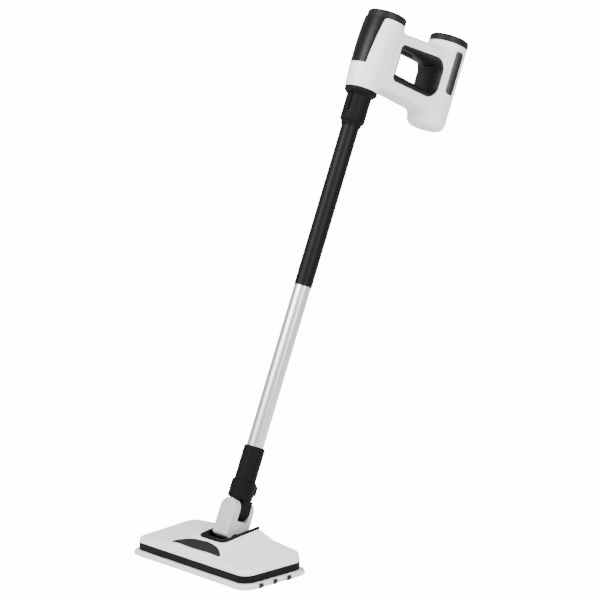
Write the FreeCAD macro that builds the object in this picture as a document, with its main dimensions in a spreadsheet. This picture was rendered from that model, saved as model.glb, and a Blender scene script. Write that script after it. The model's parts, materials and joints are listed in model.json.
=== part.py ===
import FreeCAD, Part
import os
import re
from math import sin, tan

import Sketcher

# Steam mop: a flat floor head, a two-axis swivel, a telescopic wand and a steam unit with a hand opening.
# Millimetres. +Z is up, the head's front faces -Y, the wand leans towards +Y in the plane X = 0.
# The origin lies on the floor under the middle of the head.
# Head pieces are drawn where they stand. All other pieces are drawn upright in the wand's own frame
# (Z along the wand, Y towards its rear) and are then placed together by one leaning Placement.

SIZES = {
    # the wand's lean and the place its own frame stands on
    "lean_angle": 23.0,
    "foot_y": 30.2,
    "foot_z": 60.0,
    # floor head
    "pad_length": 348.0,
    "pad_depth": 174.0,
    "pad_height": 12.7,
    "pad_corner": 25.0,
    "pad_edge": 5.0,
    "base_length": 329.0,
    "base_depth": 155.0,
    "base_bottom": 13.0,
    "base_top": 26.5,
    "base_floor": 3.0,
    "base_wall": 4.0,
    "head_corner": 23.0,
    "strip_length": 120.0,
    "strip_depth": 22.0,
    "strip_height": 1.5,
    "strip_x": 84.0,
    "strip_y": 60.0,
    "cover_wall": 3.0,
    "front_slope": 3.5,
    "crown_front": 45.2,
    "crown_middle": 55.0,
    "crown_rear": 65.5,
    "shoulder_front": 41.0,
    "shoulder_middle": 47.0,
    "shoulder_rear": 51.8,
    "end_front": 35.5,
    "end_middle": 39.0,
    "end_rear": 44.2,
    "middle_y": -18.0,
    "hump_half": 36.0,
    "shoulder_x": 86.0,
    "slot_half": 30.0,
    "slot_front": -9.0,
    "slot_floor": 18.5,
    "trim_wall": 6.0,
    "trim_front": 10.0,
    "trim_rise": 3.0,
    "trim_corner": 14.0,
    "inlay_half": 75.0,
    "inlay_front_y": -66.0,
    "inlay_peak_y": -30.0,
    "inlay_depth": 1.2,
    "manifold_length": 200.0,
    "manifold_depth": 24.0,
    "manifold_height": 8.0,
    "manifold_y": -34.0,
    "nozzle_row": -34.0,
    "nozzle_radius": 4.0,
    "nozzle_bore": 1.2,
    "nozzle_pitch": 56.0,
    "screw_radius": 2.0,
    "screw_head": 3.6,
    "screw_seat": 1.6,
    "screw_x": 152.5,
    "screw_y": 57.5,
    "screw_length": 16.0,
    # swivel
    "pitch_height": -14.0,
    "barrel_radius": 11.5,
    "barrel_half": 24.0,
    "pitch_pin_radius": 5.0,
    "pitch_pin_inner": 10.0,
    "pitch_pin_outer": 41.0,
    "pitch_bore": 2.0,
    "bush_radius": 8.0,
    "bush_width": 4.0,
    "roll_height": 45.0,
    "yoke_half": 21.0,
    "yoke_front": -28.0,
    "yoke_rear": 32.0,
    "yoke_foot": -6.0,
    "gap_front": -7.5,
    "gap_rear": 19.5,
    "gap_radius": 28.5,
    "roll_pin_radius": 7.0,
    "roll_bore": 2.5,
    "washer_radius": 14.0,
    "washer_width": 1.2,
    "tongue_radius": 21.0,
    "running_gap": 0.3,
    "fit_gap": 0.05,
    # neck
    "collar_bottom": 66.5,
    "collar_top": 103.0,
    "collar_radius": 25.0,
    "socket_radius": 21.4,
    "socket_top": 174.0,
    "socket_floor": 108.0,
    "latch_width": 13.0,
    "latch_low": 80.0,
    "latch_high": 100.0,
    "latch_rise": 9.0,
    "latch_travel": 3.0,
    # wand
    "lower_radius": 17.2,
    "lower_wall": 2.6,
    "lower_bottom": 110.0,
    "lower_top": 567.0,
    "groove_width": 5.5,
    "groove_depth": 1.6,
    "plug_height": 14.0,
    "guide_height": 20.0,
    "upper_radius": 18.2,
    "upper_inner": 17.5,
    "upper_bottom": 507.0,
    "upper_top": 893.0,
    "outer_pipe_radius": 4.5,
    "outer_pipe_bore": 3.3,
    "inner_pipe_radius": 3.0,
    "inner_pipe_bore": 2.0,
    "outer_pipe_top": 560.0,
    "inner_pipe_bottom": 530.0,
    "inner_pipe_top": 905.0,
    "button_radius": 7.0,
    "button_height": 535.0,
    "button_rise": 3.5,
    "button_inner": 18.9,
    "button_stem": 2.2,
    "button_stem_inner": 17.5,
    "button_turn": 45.0,
    # wand socket of the unit
    "lip_bottom": 844.0,
    "lip_radius": 20.4,
    "collar2_bottom": 852.0,
    "collar2_radius": 25.2,
    "collar2_top": 906.0,
    "flange_bottom": 914.0,
    "flange_top": 920.0,
    "flange_radius": 33.4,
    "unit_latch_low": 872.0,
    "unit_latch_high": 906.0,
    "unit_latch_rise": 3.6,
    # unit casing
    "shell_wall": 2.6,
    "front_bottom": 920.0,
    "front_top": 1069.5,
    "front_bottom_radius": 34.3,
    "front_bottom_y": 0.2,
    "front_top_radius": 41.6,
    "front_top_y": 10.5,
    "front_middle": 1000.0,
    "front_middle_radius": 39.4,
    "front_middle_y": 2.8,
    "front_cap_top": 1085.5,
    "front_cap_radius": 40.4,
    "front_cap_y": 11.8,
    "cap_bevel": 5.0,
    "rear_y": 204.2,
    "rear_radius": 41.2,
    "rear_bottom": 910.0,
    "rear_top": 1092.0,
    "rear_cap_top": 1107.0,
    "rear_cap_radius": 41.2,
    "foot_round": 22.0,
    "bridge_half": 35.0,
    "bridge_bottom": 936.0,
    "bridge_top_front": 1056.0,
    "bridge_top_rear": 1077.0,
    "bridge_round": 9.0,
    "opening_front": 44.5,
    "opening_rear": 174.5,
    "opening_low": 962.0,
    "opening_high_front": 1034.0,
    "opening_high_rear": 1049.2,
    "opening_front_corner": 8.0,
    "opening_rear_corner": 27.0,
    "throat_front": 51.0,
    "throat_rear": 167.0,
    "throat_low": 980.0,
    "throat_high": 1031.0,
    "throat_half": 25.0,
    "throat_corner": 3.0,
    "liner_wall": 2.0,
    "panel_bottom": 970.0,
    "panel_top_half": 29.0,
    "panel_bottom_half": 21.0,
    "panel_depth": 1.4,
    "panel_rise": 0.6,
    "panel_sweep": 7.0,
    "window_y": 205.0,
    "window_width": 22.0,
    "window_low": 987.0,
    "window_high": 1078.0,
    "window_depth": 2.2,
    # unit insides
    "cap_mouth": 36.0,
    "tank_radius": 31.0,
    "tank_wall": 1.8,
    "tank_y": 210.2,
    "tank_bottom": 944.0,
    "tank_top": 1086.0,
    "filler_radius": 13.0,
    "boiler_radius": 21.0,
    "boiler_bottom": 990.0,
    "boiler_height": 46.0,
    "boiler_y": 8.0,
    "heater_ring": 24.5,
    "heater_radius": 3.2,
    "pump_radius": 13.0,
    "pump_bottom": 932.0,
    "pump_height": 44.0,
    "pump_y": 14.0,
    "board_width": 50.0,
    "board_depth": 34.0,
    "board_bottom": 1056.0,
    "board_thickness": 1.6,
    "hose_radius": 3.0,
    "hose_bore": 1.6,
    "hose_height": 950.0,
    "trigger_front": 66.0,
    "trigger_rear": 104.0,
    "trigger_half": 9.0,
    "trigger_rise": 2.0,
    "power_radius": 14.0,
    "power_rise": 1.2,
    "power_travel": 1.8,
    "plug_radius": 12.7,
    "plug_depth": 24.0,
    "inlet_height": 934.0,
    "inlet_bore": 3.75,
    "inlet_radius": 9.0,
    "inlet_depth": 9.0,
    "panel_gap": 0.1,
    "window_round": 6.0,
    "latch_round": 1.0,
    "plug_axle": 5.0,
    "screw_reach": 27.0,
    # the pitch axis and the steam pipe in the head's own frame
    "head_pipe_x": 48.0,
    "head_pipe_z": 30.0,
    "pitch_y": 24.73,
    "pitch_z": 47.11,
}

AXES = {
    "X": FreeCAD.Rotation(FreeCAD.Vector(0, 1, 0), 90),
    "Y": FreeCAD.Rotation(FreeCAD.Vector(1, 0, 0), -90),
    "Z": FreeCAD.Rotation(),
}

doc = FreeCAD.newDocument("SteamMop")
sheet = doc.addObject("Spreadsheet::Sheet", "Sizes")
for row, (alias, value) in enumerate(SIZES.items(), start=1):
    sheet.set("A%d" % row, alias)
    sheet.set("B%d" % row, str(value))
    sheet.setAlias("B%d" % row, alias)
doc.recompute()

SUBPARTS = []
lean = FreeCAD.Placement(
    FreeCAD.Vector(0, sheet.foot_y, sheet.foot_z),
    FreeCAD.Rotation(FreeCAD.Vector(1, 0, 0), -sheet.lean_angle),
)


def formula(text):
    """An expression on the sheet: every alias in the text gets the sheet's name in front."""

    def on_sheet(match):
        word = match.group(0)
        return "Sizes." + word if word in SIZES else word

    return re.sub(r"[a-z][a-z0-9_]+", on_sheet, text)


def value_of(text):
    """The number that a formula gives now."""
    return float(doc.getObject("Sizes").evalExpression(formula(text)))


def bind(thing, **formulas):
    for name, text in formulas.items():
        thing.setExpression(name.replace("__", "."), formula(text))


def put(thing, x, y, z, axis="Z"):
    thing.Placement = FreeCAD.Placement(FreeCAD.Vector(), AXES[axis])
    bind(thing, Placement__Base__x=x, Placement__Base__y=y, Placement__Base__z=z)
    return thing


def cylinder(radius, height, x="0", y="0", z="0", axis="Z"):
    thing = doc.addObject("Part::Cylinder", "Cylinder")
    bind(thing, Radius=radius, Height=height)
    return put(thing, x, y, z, axis)


def ring(radius, thickness, x="0", y="0", z="0", axis="Z"):
    thing = doc.addObject("Part::Torus", "Torus")
    bind(thing, Radius1=radius, Radius2=thickness)
    return put(thing, x, y, z, axis)


def box(low, high):
    """A box between two corners, each given by three formulas."""
    thing = doc.addObject("Part::Box", "Box")
    lengths = ["(%s) - (%s)" % (b, a) for a, b in zip(low, high)]
    bind(thing, Length=lengths[0], Width=lengths[1], Height=lengths[2])
    return put(thing, *low)


def fuse(*things):
    thing = doc.addObject("Part::MultiFuse", "Fuse")
    thing.Shapes = list(things)
    return thing


def common(*things):
    thing = doc.addObject("Part::MultiCommon", "Common")
    thing.Shapes = list(things)
    return thing


def cut(base, *tools):
    thing = doc.addObject("Part::Cut", "Cut")
    thing.Base = base
    thing.Tool = tools[0] if len(tools) == 1 else fuse(*tools)
    return thing


def group(*things):
    """Separate solids kept in one node."""
    thing = doc.addObject("Part::Compound", "Group")
    thing.Links = list(things)
    return thing


def tube(radius, bore, height, x="0", y="0", z="0", axis="Z"):
    return cut(cylinder(radius, height, x, y, z, axis), cylinder(bore, height, x, y, z, axis))


def rounded_edges(base, radius, chosen):
    """Rounds the edges of a shape that the test picks."""
    doc.recompute()
    thing = doc.addObject("Part::Fillet", "Rounded")
    thing.Base = base
    numbers = [i for i, edge in enumerate(base.Shape.Edges, start=1) if chosen(edge)]
    thing.Edges = [(number, sheet.get(radius), sheet.get(radius)) for number in numbers]
    return thing


def upright(edge):
    box_of_edge = edge.BoundBox
    return box_of_edge.ZLength > 1 and box_of_edge.XLength < 0.01 and box_of_edge.YLength < 0.01


def slab(length, depth, low, high, corner, grow="0"):
    """A plate centred on the origin with four rounded corners."""
    half_x = "(%s) / 2 + %s" % (length, grow)
    half_y = "(%s) / 2 + %s" % (depth, grow)
    plain = box(("-(%s)" % half_x, "-(%s)" % half_y, low), (half_x, half_y, high))
    return rounded_edges(plain, corner, upright)


def solid_of(shape):
    """A sub-part's shape worked out in code, for surfaces that no primitive or sketch gives."""
    thing = doc.addObject("Part::Feature", "Shaped")
    thing.Shape = shape
    return thing


def polygon(points):
    return Part.makePolygon(points + [points[0]])


def turned(outline):
    """A PartDesign body: a closed outline of (radius, height) formulas turned about the Z axis."""
    body = doc.addObject("PartDesign::Body", "Turned")
    sketch = body.newObject("Sketcher::SketchObject", "Outline")
    plane = [f for f in body.Origin.OriginFeatures if f.Role == "XZ_Plane"][0]
    sketch.AttachmentSupport = [(plane, "")]
    sketch.MapMode = "FlatFace"
    corners = [FreeCAD.Vector(value_of(radius), value_of(height), 0) for radius, height in outline]
    count = len(corners)
    for index in range(count):
        sketch.addGeometry(Part.LineSegment(corners[index], corners[(index + 1) % count]), False)
    for index, (radius, height) in enumerate(outline):
        before = index - 1 if index else count - 1
        sketch.addConstraint(Sketcher.Constraint("Coincident", before, 2, index, 1))
        if radius == "0":
            sketch.addConstraint(Sketcher.Constraint("PointOnObject", index, 1, -2))
        else:
            across = sketch.addConstraint(
                Sketcher.Constraint("DistanceX", -1, 1, index, 1, corners[index].x)
            )
            sketch.setExpression("Constraints[%d]" % across, formula(radius))
        along = sketch.addConstraint(Sketcher.Constraint("DistanceY", -1, 1, index, 1, corners[index].y))
        sketch.setExpression("Constraints[%d]" % along, formula(height))
    revolution = body.newObject("PartDesign::Revolution", "Revolution")
    revolution.Profile = sketch
    revolution.ReferenceAxis = (sketch, ["V_Axis"])
    revolution.Angle = 360
    body.Tip = revolution
    return body


def subpart(name, thing, leaning=True):
    """Names a finished piece. A leaning one is held in a group that stands it in the wand's frame."""
    if leaning:
        thing = group(thing)
        thing.Placement = lean
    thing.Label = name
    SUBPARTS.append(thing)


def crown(x):
    """Height of the cover's top at the front, the middle and the rear, at a distance from the middle."""
    stations = [
        (0.0, (sheet.crown_front, sheet.crown_middle, sheet.crown_rear)),
        (sheet.hump_half, (sheet.crown_front, sheet.crown_middle, sheet.crown_rear)),
        (sheet.shoulder_x, (sheet.shoulder_front, sheet.shoulder_middle, sheet.shoulder_rear)),
        (sheet.base_length / 2, (sheet.end_front, sheet.end_middle, sheet.end_rear)),
    ]
    for (near_x, near), (far_x, far) in zip(stations, stations[1:]):
        if abs(x) <= far_x:
            share = (abs(x) - near_x) / (far_x - near_x)
            return [a + share * (b - a) for a, b in zip(near, far)]
    return list(stations[-1][1])


def wedge(bottom, inset=0.0, lift=0.0):
    """The solid under the cover's crowned top: ruled between side views of it."""
    reach = sheet.base_length / 2 - inset
    stations = [-reach, -sheet.shoulder_x, -sheet.hump_half, sheet.hump_half, sheet.shoulder_x, reach]
    front = -sheet.base_depth / 2 + inset
    rear = sheet.base_depth / 2 - inset
    wires = []
    for x in stations:
        front_top, middle_top, rear_top = crown(x)
        wires.append(
            polygon(
                [
                    FreeCAD.Vector(x, front, bottom),
                    FreeCAD.Vector(x, front + sheet.front_slope, front_top + lift),
                    FreeCAD.Vector(x, sheet.middle_y, middle_top + lift),
                    FreeCAD.Vector(x, rear, rear_top + lift),
                    FreeCAD.Vector(x, rear, bottom),
                ]
            )
        )
    return solid_of(Part.makeLoft(wires, True, True))


def slot_plan(side_grow, front_grow, low, high):
    """The swivel slot's outline as a block: open to the rear, with rounded front corners."""
    side = "slot_half + %s" % side_grow
    front = "slot_front - %s" % front_grow
    block = box(("-(%s)" % side, front, low), (side, "base_depth / 2 + slot_half", high))

    def front_upright(edge):
        return upright(edge) and edge.BoundBox.YMin < 0

    return rounded_edges(block, "trim_corner", front_upright)


def make_pad():
    plain = slab("pad_length", "pad_depth", "0", "pad_height", "pad_corner")

    def rim(edge):
        return edge.BoundBox.ZLength < 0.01

    subpart("cleaning_pad", rounded_edges(plain, "pad_edge", rim), leaning=False)


def make_base():
    body = slab("base_length", "base_depth", "base_bottom", "base_top", "head_corner")
    hollow = slab(
        "base_length - 2 * base_wall",
        "base_depth - 2 * base_wall",
        "base_bottom + base_floor",
        "base_top + 1",
        "head_corner",
    )
    pockets = [strip(x, y) for x in (-1, 1) for y in (-1, 1)]
    nozzles = nozzle_cylinders("nozzle_radius", "base_bottom", "base_floor")
    screws = screw_cylinders("screw_radius", "base_bottom", "base_floor")
    screw_seats = screw_cylinders("screw_head", "base_bottom - 1", "1 + screw_seat")
    slot = slot_plan("trim_wall", "trim_front", "slot_floor - 2", "200")
    cuts = [hollow, slot] + pockets + nozzles + screws + screw_seats
    subpart("head_base", cut(body, *cuts), leaning=False)


def strip(side_x, side_y):
    return box(
        (
            "%d * strip_x - strip_length / 2" % side_x,
            "%d * strip_y - strip_depth / 2" % side_y,
            "base_bottom",
        ),
        (
            "%d * strip_x + strip_length / 2" % side_x,
            "%d * strip_y + strip_depth / 2" % side_y,
            "base_bottom + strip_height",
        ),
    )


def make_hook_strips():
    strips = [strip(x, y) for x in (-1, 1) for y in (-1, 1)]
    subpart("hook_strips", group(*strips), leaning=False)


def nozzle_cylinders(radius, low, height):
    return [
        cylinder(radius, height, "%s * nozzle_pitch" % place, "nozzle_row", low)
        for place in (-1.5, -0.5, 0.5, 1.5)
    ]


def screw_cylinders(radius, low, height):
    places = [(x, y) for x in (-1, 1) for y in (-1, 1)]
    return [cylinder(radius, height, "%d * screw_x" % x, "%d * screw_y" % y, low) for x, y in places]


def make_steam_manifold():
    low = "base_bottom + base_floor"
    half_y = "manifold_depth / 2"
    body = box(
        ("-manifold_length / 2", "manifold_y - %s" % half_y, low + " + 1"),
        ("manifold_length / 2", "manifold_y + %s" % half_y, low + " + 1 + manifold_height"),
    )
    hollow = box(
        ("-manifold_length / 2 + 2", "manifold_y - %s + 2" % half_y, low + " + 3"),
        ("manifold_length / 2 - 2", "manifold_y + %s - 2" % half_y, low + " - 1 + manifold_height"),
    )
    bores = nozzle_cylinders("nozzle_radius - 1.5", low, "4")
    inlet = cylinder("pitch_bore", "6", "head_pipe_x", "manifold_y + %s - 4" % half_y, "head_pipe_z", "Y")
    subpart("steam_manifold", cut(body, hollow, inlet, *bores), leaning=False)


def make_steam_nozzles():
    bodies = nozzle_cylinders("nozzle_radius", "base_bottom", "base_floor + 1")
    bores = nozzle_cylinders("nozzle_bore", "base_bottom", "base_floor + 1")
    nozzles = [cut(body, bore) for body, bore in zip(bodies, bores)]
    subpart("steam_nozzles", group(*nozzles), leaning=False)


def make_cover():
    plan = slab("base_length", "base_depth", "base_top", "200", "head_corner")
    outer = common(wedge(sheet.base_top), plan)
    inner = common(
        wedge(sheet.base_top - 1, inset=sheet.cover_wall, lift=-sheet.cover_wall),
        slab(
            "base_length - 2 * cover_wall",
            "base_depth - 2 * cover_wall",
            "base_top - 1",
            "200",
            "head_corner",
        ),
    )
    under_roof = wedge(sheet.base_top - 6, lift=-1.0)
    posts = [common(post, under_roof) for post in screw_cylinders("screw_head + 1", "base_top - 6", "30")]
    holes = screw_cylinders("screw_radius", "base_top - 7", "screw_length")
    slot = slot_plan("trim_wall", "trim_front", "0", "200")
    shell = cut(outer, inner, slot)
    shell = fuse(shell, *posts)
    groove = cut(common(wedge(sheet.base_top + 1, lift=5.0), inlay_plan()), inlay_floor())
    subpart("head_cover", cut(shell, groove, *holes), leaning=False)


def inlay_plan():
    """A crescent block: nearly straight at the front, arched at the rear."""
    half = sheet.inlay_half
    front = sheet.inlay_front_y
    edge = front + 4
    arch = Part.Arc(
        FreeCAD.Vector(half, edge, 0),
        FreeCAD.Vector(0, sheet.inlay_peak_y, 0),
        FreeCAD.Vector(-half, edge, 0),
    )
    lower = Part.Arc(
        FreeCAD.Vector(-half, edge, 0),
        FreeCAD.Vector(0, front, 0),
        FreeCAD.Vector(half, edge, 0),
    )
    face = Part.Face(Part.Wire([arch.toShape(), lower.toShape()]))
    return solid_of(face.extrude(FreeCAD.Vector(0, 0, sheet.crown_rear)))


def inlay_floor():
    return wedge(sheet.base_top - 2, lift=-sheet.inlay_depth)


def make_inlay():
    layer = cut(wedge(sheet.base_top, lift=0.4), wedge(sheet.base_top - 2, lift=-sheet.inlay_depth))
    subpart("cover_inlay", common(layer, inlay_plan()), leaning=False)


def make_slot_trim():
    block = common(
        wedge(sheet.slot_floor - 2, lift=sheet.trim_rise),
        slot_plan("trim_wall", "trim_front", "slot_floor - 2", "200"),
    )
    hollow = slot_plan("0", "0", "slot_floor", "200")
    pin_holes = cylinder(
        "pitch_pin_radius", "2 * pitch_pin_outer", "-pitch_pin_outer", "pitch_y", "pitch_z", "X"
    )
    subpart("slot_trim", cut(block, hollow, pin_holes), leaning=False)


def make_pitch_pins():
    pins = []
    for x in ("-pitch_pin_outer", "pitch_pin_inner"):
        length = "pitch_pin_outer - pitch_pin_inner"
        pins.append(tube("pitch_pin_radius", "pitch_bore", length, x, "0", "pitch_height", "X"))
    subpart("pitch_pins", group(*pins))
    bushes = []
    for x in ("-slot_half - trim_wall - bush_width", "slot_half + trim_wall"):
        bushes.append(tube("bush_radius", "pitch_pin_radius", "bush_width", x, "0", "pitch_height", "X"))
    subpart("pitch_bushes", group(*bushes))


def make_head_pipe():
    """Carries steam from the hollow right-hand pitch pin forward to the manifold."""
    rise = cylinder("hose_radius", "pitch_z - head_pipe_z", "head_pipe_x", "pitch_y", "head_pipe_z")
    run_start = "manifold_y + manifold_depth / 2"
    run = cylinder("hose_radius", "pitch_y - (%s)" % run_start, "head_pipe_x", run_start, "head_pipe_z", "Y")
    inlet = cylinder(
        "hose_radius", "head_pipe_x - pitch_pin_outer", "pitch_pin_outer", "pitch_y", "pitch_z", "X"
    )
    corners = [
        ball("hose_radius", "head_pipe_x", "pitch_y", "head_pipe_z"),
        ball("hose_radius", "head_pipe_x", "pitch_y", "pitch_z"),
    ]
    subpart("head_steam_pipe", fuse(rise, run, inlet, *corners), leaning=False)


def ball(radius, x, y, z):
    thing = doc.addObject("Part::Sphere", "Ball")
    bind(thing, Radius=radius)
    return put(thing, x, y, z)


def make_cover_screws():
    shanks = screw_cylinders("screw_radius", "base_bottom", "screw_length")
    heads = screw_cylinders("screw_head", "base_bottom", "screw_seat")
    screws = [fuse(shank, head) for shank, head in zip(shanks, heads)]
    subpart("cover_screws", group(*screws), leaning=False)


def make_yoke():
    side_view = [
        (-sheet.barrel_radius, sheet.pitch_height),
        (sheet.yoke_front, sheet.yoke_foot),
        (sheet.yoke_front, 70),
        (sheet.yoke_rear, 70),
        (sheet.yoke_rear, 8),
        (sheet.barrel_radius + 5, sheet.pitch_height + 3),
        (sheet.barrel_radius, sheet.pitch_height),
    ]
    wire = polygon([FreeCAD.Vector(-sheet.yoke_half, y, z) for y, z in side_view])
    profile = solid_of(Part.Face(wire).extrude(FreeCAD.Vector(2 * sheet.yoke_half, 0, 0)))
    front_view = fuse(
        box(
            ("-yoke_half", "yoke_front - 1", "pitch_height - 1"),
            ("yoke_half", "yoke_rear + 1", "roll_height"),
        ),
        cylinder("yoke_half", "yoke_rear - yoke_front + 2", "0", "yoke_front - 1", "roll_height", "Y"),
    )
    gap = fuse(
        cylinder("gap_radius", "gap_rear - gap_front", "0", "gap_front", "roll_height", "Y"),
        box(("-gap_radius", "gap_front", "roll_height"), ("gap_radius", "gap_rear", "roll_height + 40")),
    )
    barrel = cylinder("barrel_radius", "2 * barrel_half", "-barrel_half", "0", "pitch_height", "X")
    pin_bore = cylinder("pitch_pin_radius + fit_gap", "100", "-50", "0", "pitch_height", "X")
    pin_length = "yoke_rear - yoke_front - 4"
    roll_bore = cylinder("roll_pin_radius", pin_length, "0", "yoke_front + 2", "roll_height", "Y")
    steam_way = cylinder("hose_radius", "24", "0", "-17", "pitch_height", "Z")
    body = cut(common(profile, front_view), gap)
    subpart("yoke", cut(fuse(body, barrel), pin_bore, roll_bore, steam_way))


def make_roll_pin():
    length = "yoke_rear - yoke_front - 4"
    pin = tube("roll_pin_radius", "roll_bore", length, "0", "yoke_front + 2", "roll_height", "Y")
    subpart("roll_pin", pin)
    washers = []
    for y in ("gap_front", "gap_rear - washer_width"):
        washers.append(tube("washer_radius", "roll_pin_radius", "washer_width", "0", y, "roll_height", "Y"))
    subpart("roll_washers", group(*washers))


def make_neck():
    tongue_front = "gap_front + washer_width + running_gap"
    tongue_rear = "gap_rear - washer_width - running_gap"
    eye = cylinder(
        "tongue_radius", "(%s) - (%s)" % (tongue_rear, tongue_front), "0", tongue_front, "roll_height", "Y"
    )
    web = box(
        ("-tongue_radius", tongue_front, "roll_height"), ("tongue_radius", tongue_rear, "collar_bottom + 1")
    )
    sleeve = turned(
        [
            ("0", "collar_bottom"),
            ("collar_radius - 2", "collar_bottom"),
            ("collar_radius", "collar_bottom + 4"),
            ("collar_radius", "collar_top"),
            ("socket_radius", "collar_top + 1.5"),
            ("socket_radius", "socket_top - 2"),
            ("socket_radius - 2", "socket_top"),
            ("0", "socket_top"),
        ]
    )
    bore = cylinder("lower_radius + fit_gap", "100", "0", "0", "socket_floor")
    pipe_bore = cylinder("outer_pipe_radius", "socket_floor - roll_height", "0", "0", "roll_height")
    roll_bore = cylinder("roll_pin_radius + fit_gap", "60", "0", "-30", "roll_height", "Y")
    latch_seat = box(
        ("-latch_width / 2 - running_gap", "collar_radius - 5.5", "latch_low - running_gap"),
        ("latch_width / 2 + running_gap", "60", "latch_high + running_gap"),
    )
    subpart("neck_body", cut(fuse(eye, web, sleeve), bore, pipe_bore, roll_bore, latch_seat))
    pipe_length = "socket_floor - 2 - roll_height - 9"
    pipe = tube("outer_pipe_radius", "inner_pipe_bore", pipe_length, "0", "0", "roll_height + 9")
    subpart("neck_steam_pipe", pipe)
    seal = ring("outer_pipe_radius - 1", "1", "0", "0", "socket_floor - 1")
    subpart("neck_seal", seal)


def make_neck_latch():
    pad = box(
        ("-latch_width / 2", "collar_radius - 2", "latch_low"),
        ("latch_width / 2", "collar_radius + latch_rise", "latch_high"),
    )

    def outer_corner(edge):
        return edge.BoundBox.XLength > 1 and edge.BoundBox.YMin > sheet.collar_radius + 2

    subpart("neck_latch_button", rounded_edges(pad, "latch_travel", outer_corner))


def make_lower_wand():
    length = "lower_top - lower_bottom"
    inner_radius = "lower_radius - lower_wall"
    outside = tube("lower_radius", inner_radius, length, "0", "0", "lower_bottom")
    grooves = []
    for quarter in range(4):
        groove = box(
            ("lower_radius - groove_depth", "-groove_width / 2", "socket_top + 1"),
            ("lower_radius + 5", "groove_width / 2", "lower_top + 1"),
        )
        grooves.append(turned_about_wand(groove, 45 + 90 * quarter))
    subpart("lower_tube", cut(outside, *grooves))
    pipe_length = "outer_pipe_top - lower_bottom"
    pipe = tube("outer_pipe_radius", "outer_pipe_bore", pipe_length, "0", "0", "lower_bottom")
    subpart("lower_steam_pipe", pipe)
    plug = tube(inner_radius, "outer_pipe_radius", "plug_height", "0", "0", "lower_bottom + 1")
    subpart("wand_end_plug", plug)
    guide_low = "outer_pipe_top - guide_height"
    guide = tube(inner_radius, "outer_pipe_radius", "guide_height", "0", "0", guide_low)
    subpart("wand_pipe_guide", guide)


def make_upper_wand():
    length = "upper_top - upper_bottom"
    outside = tube("upper_radius", "upper_inner", length, "0", "0", "upper_bottom")
    button_hole = cylinder("button_radius + running_gap", "30", "0", "0", "button_height", "Y")
    subpart("upper_tube", cut(outside, turned_about_wand(button_hole, sheet.button_turn)))
    pipe_length = "inner_pipe_top - inner_pipe_bottom"
    subpart(
        "upper_steam_pipe",
        tube("inner_pipe_radius", "inner_pipe_bore", pipe_length, "0", "0", "inner_pipe_bottom"),
    )
    plug = tube("upper_inner", "inner_pipe_radius", "plug_height", "0", "0", "upper_top - plug_height")
    subpart("wand_top_plug", plug)


def turned_about_wand(thing, angle):
    """The same piece, turned about the wand's axis."""
    holder = group(thing)
    holder.Placement = FreeCAD.Placement(FreeCAD.Vector(), FreeCAD.Rotation(FreeCAD.Vector(0, 0, 1), angle))
    return holder


def make_telescope_button():
    """Its stem stands over a groove of the lower tube, on the side away from the front."""
    head = cylinder("button_radius", "button_rise", "0", "button_inner", "button_height", "Y")
    stem_length = "button_inner - button_stem_inner + 0.5"
    stem = cylinder("button_stem", stem_length, "0", "button_stem_inner", "button_height", "Y")
    subpart("telescope_button", turned_about_wand(fuse(head, stem), sheet.button_turn))


def make_wand_socket():
    sleeve = turned(
        [
            ("0", "lip_bottom"),
            ("lip_radius", "lip_bottom"),
            ("lip_radius + 1", "collar2_bottom - 2"),
            ("collar2_radius", "collar2_bottom + 2"),
            ("collar2_radius", "collar2_top"),
            ("flange_radius", "flange_bottom"),
            ("flange_radius", "flange_top"),
            ("0", "flange_top"),
        ]
    )
    bore = cylinder("upper_radius + fit_gap", "upper_top + 2 - lip_bottom", "0", "0", "lip_bottom")
    pipe_bore = cylinder("inner_pipe_radius + fit_gap", "60", "0", "0", "upper_top")
    latch_seat = box(
        ("-latch_width / 2 - running_gap", "-60", "unit_latch_low - running_gap"),
        ("latch_width / 2 + running_gap", "-collar2_radius + 4.5", "unit_latch_high + running_gap"),
    )
    subpart("wand_socket", cut(sleeve, bore, pipe_bore, latch_seat))
    subpart("socket_seal", ring("inner_pipe_radius + 1.2", "1", "0", "0", "flange_top + 1"))


def make_unit_latch():
    front_y = "-collar2_radius - unit_latch_rise"
    pad = box(
        ("-latch_width / 2", front_y, "unit_latch_low"),
        ("latch_width / 2", "-collar2_radius + 1.2", "unit_latch_high"),
    )

    def outer_corner(edge):
        return edge.BoundBox.XLength > 1 and edge.BoundBox.YMax < -sheet.collar2_radius

    subpart("unit_latch_button", rounded_edges(pad, "latch_round", outer_corner))


def front_column(inset, low, high):
    """The front cylinder: three circles that grow and lean back towards the top, joined by a loft."""
    rings = []
    for radius, y, z in (
        (sheet.front_bottom_radius, sheet.front_bottom_y, low),
        (sheet.front_middle_radius, sheet.front_middle_y, sheet.front_middle),
        (sheet.front_top_radius, sheet.front_top_y, high),
    ):
        circle = Part.Circle(FreeCAD.Vector(0, y, z), FreeCAD.Vector(0, 0, 1), radius - inset)
        rings.append(Part.Wire([circle.toShape()]))
    return solid_of(Part.makeLoft(rings, True, False))


def rear_column(inset, low, high):
    body = cylinder("rear_radius - %s" % inset, "(%s) - (%s)" % (high, low), "0", "rear_y", low)

    def bottom_rim(edge):
        return edge.BoundBox.ZMax < value_of(low) + 1 and edge.BoundBox.XLength > 10

    return rounded_edges(body, "foot_round", bottom_rim)


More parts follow.
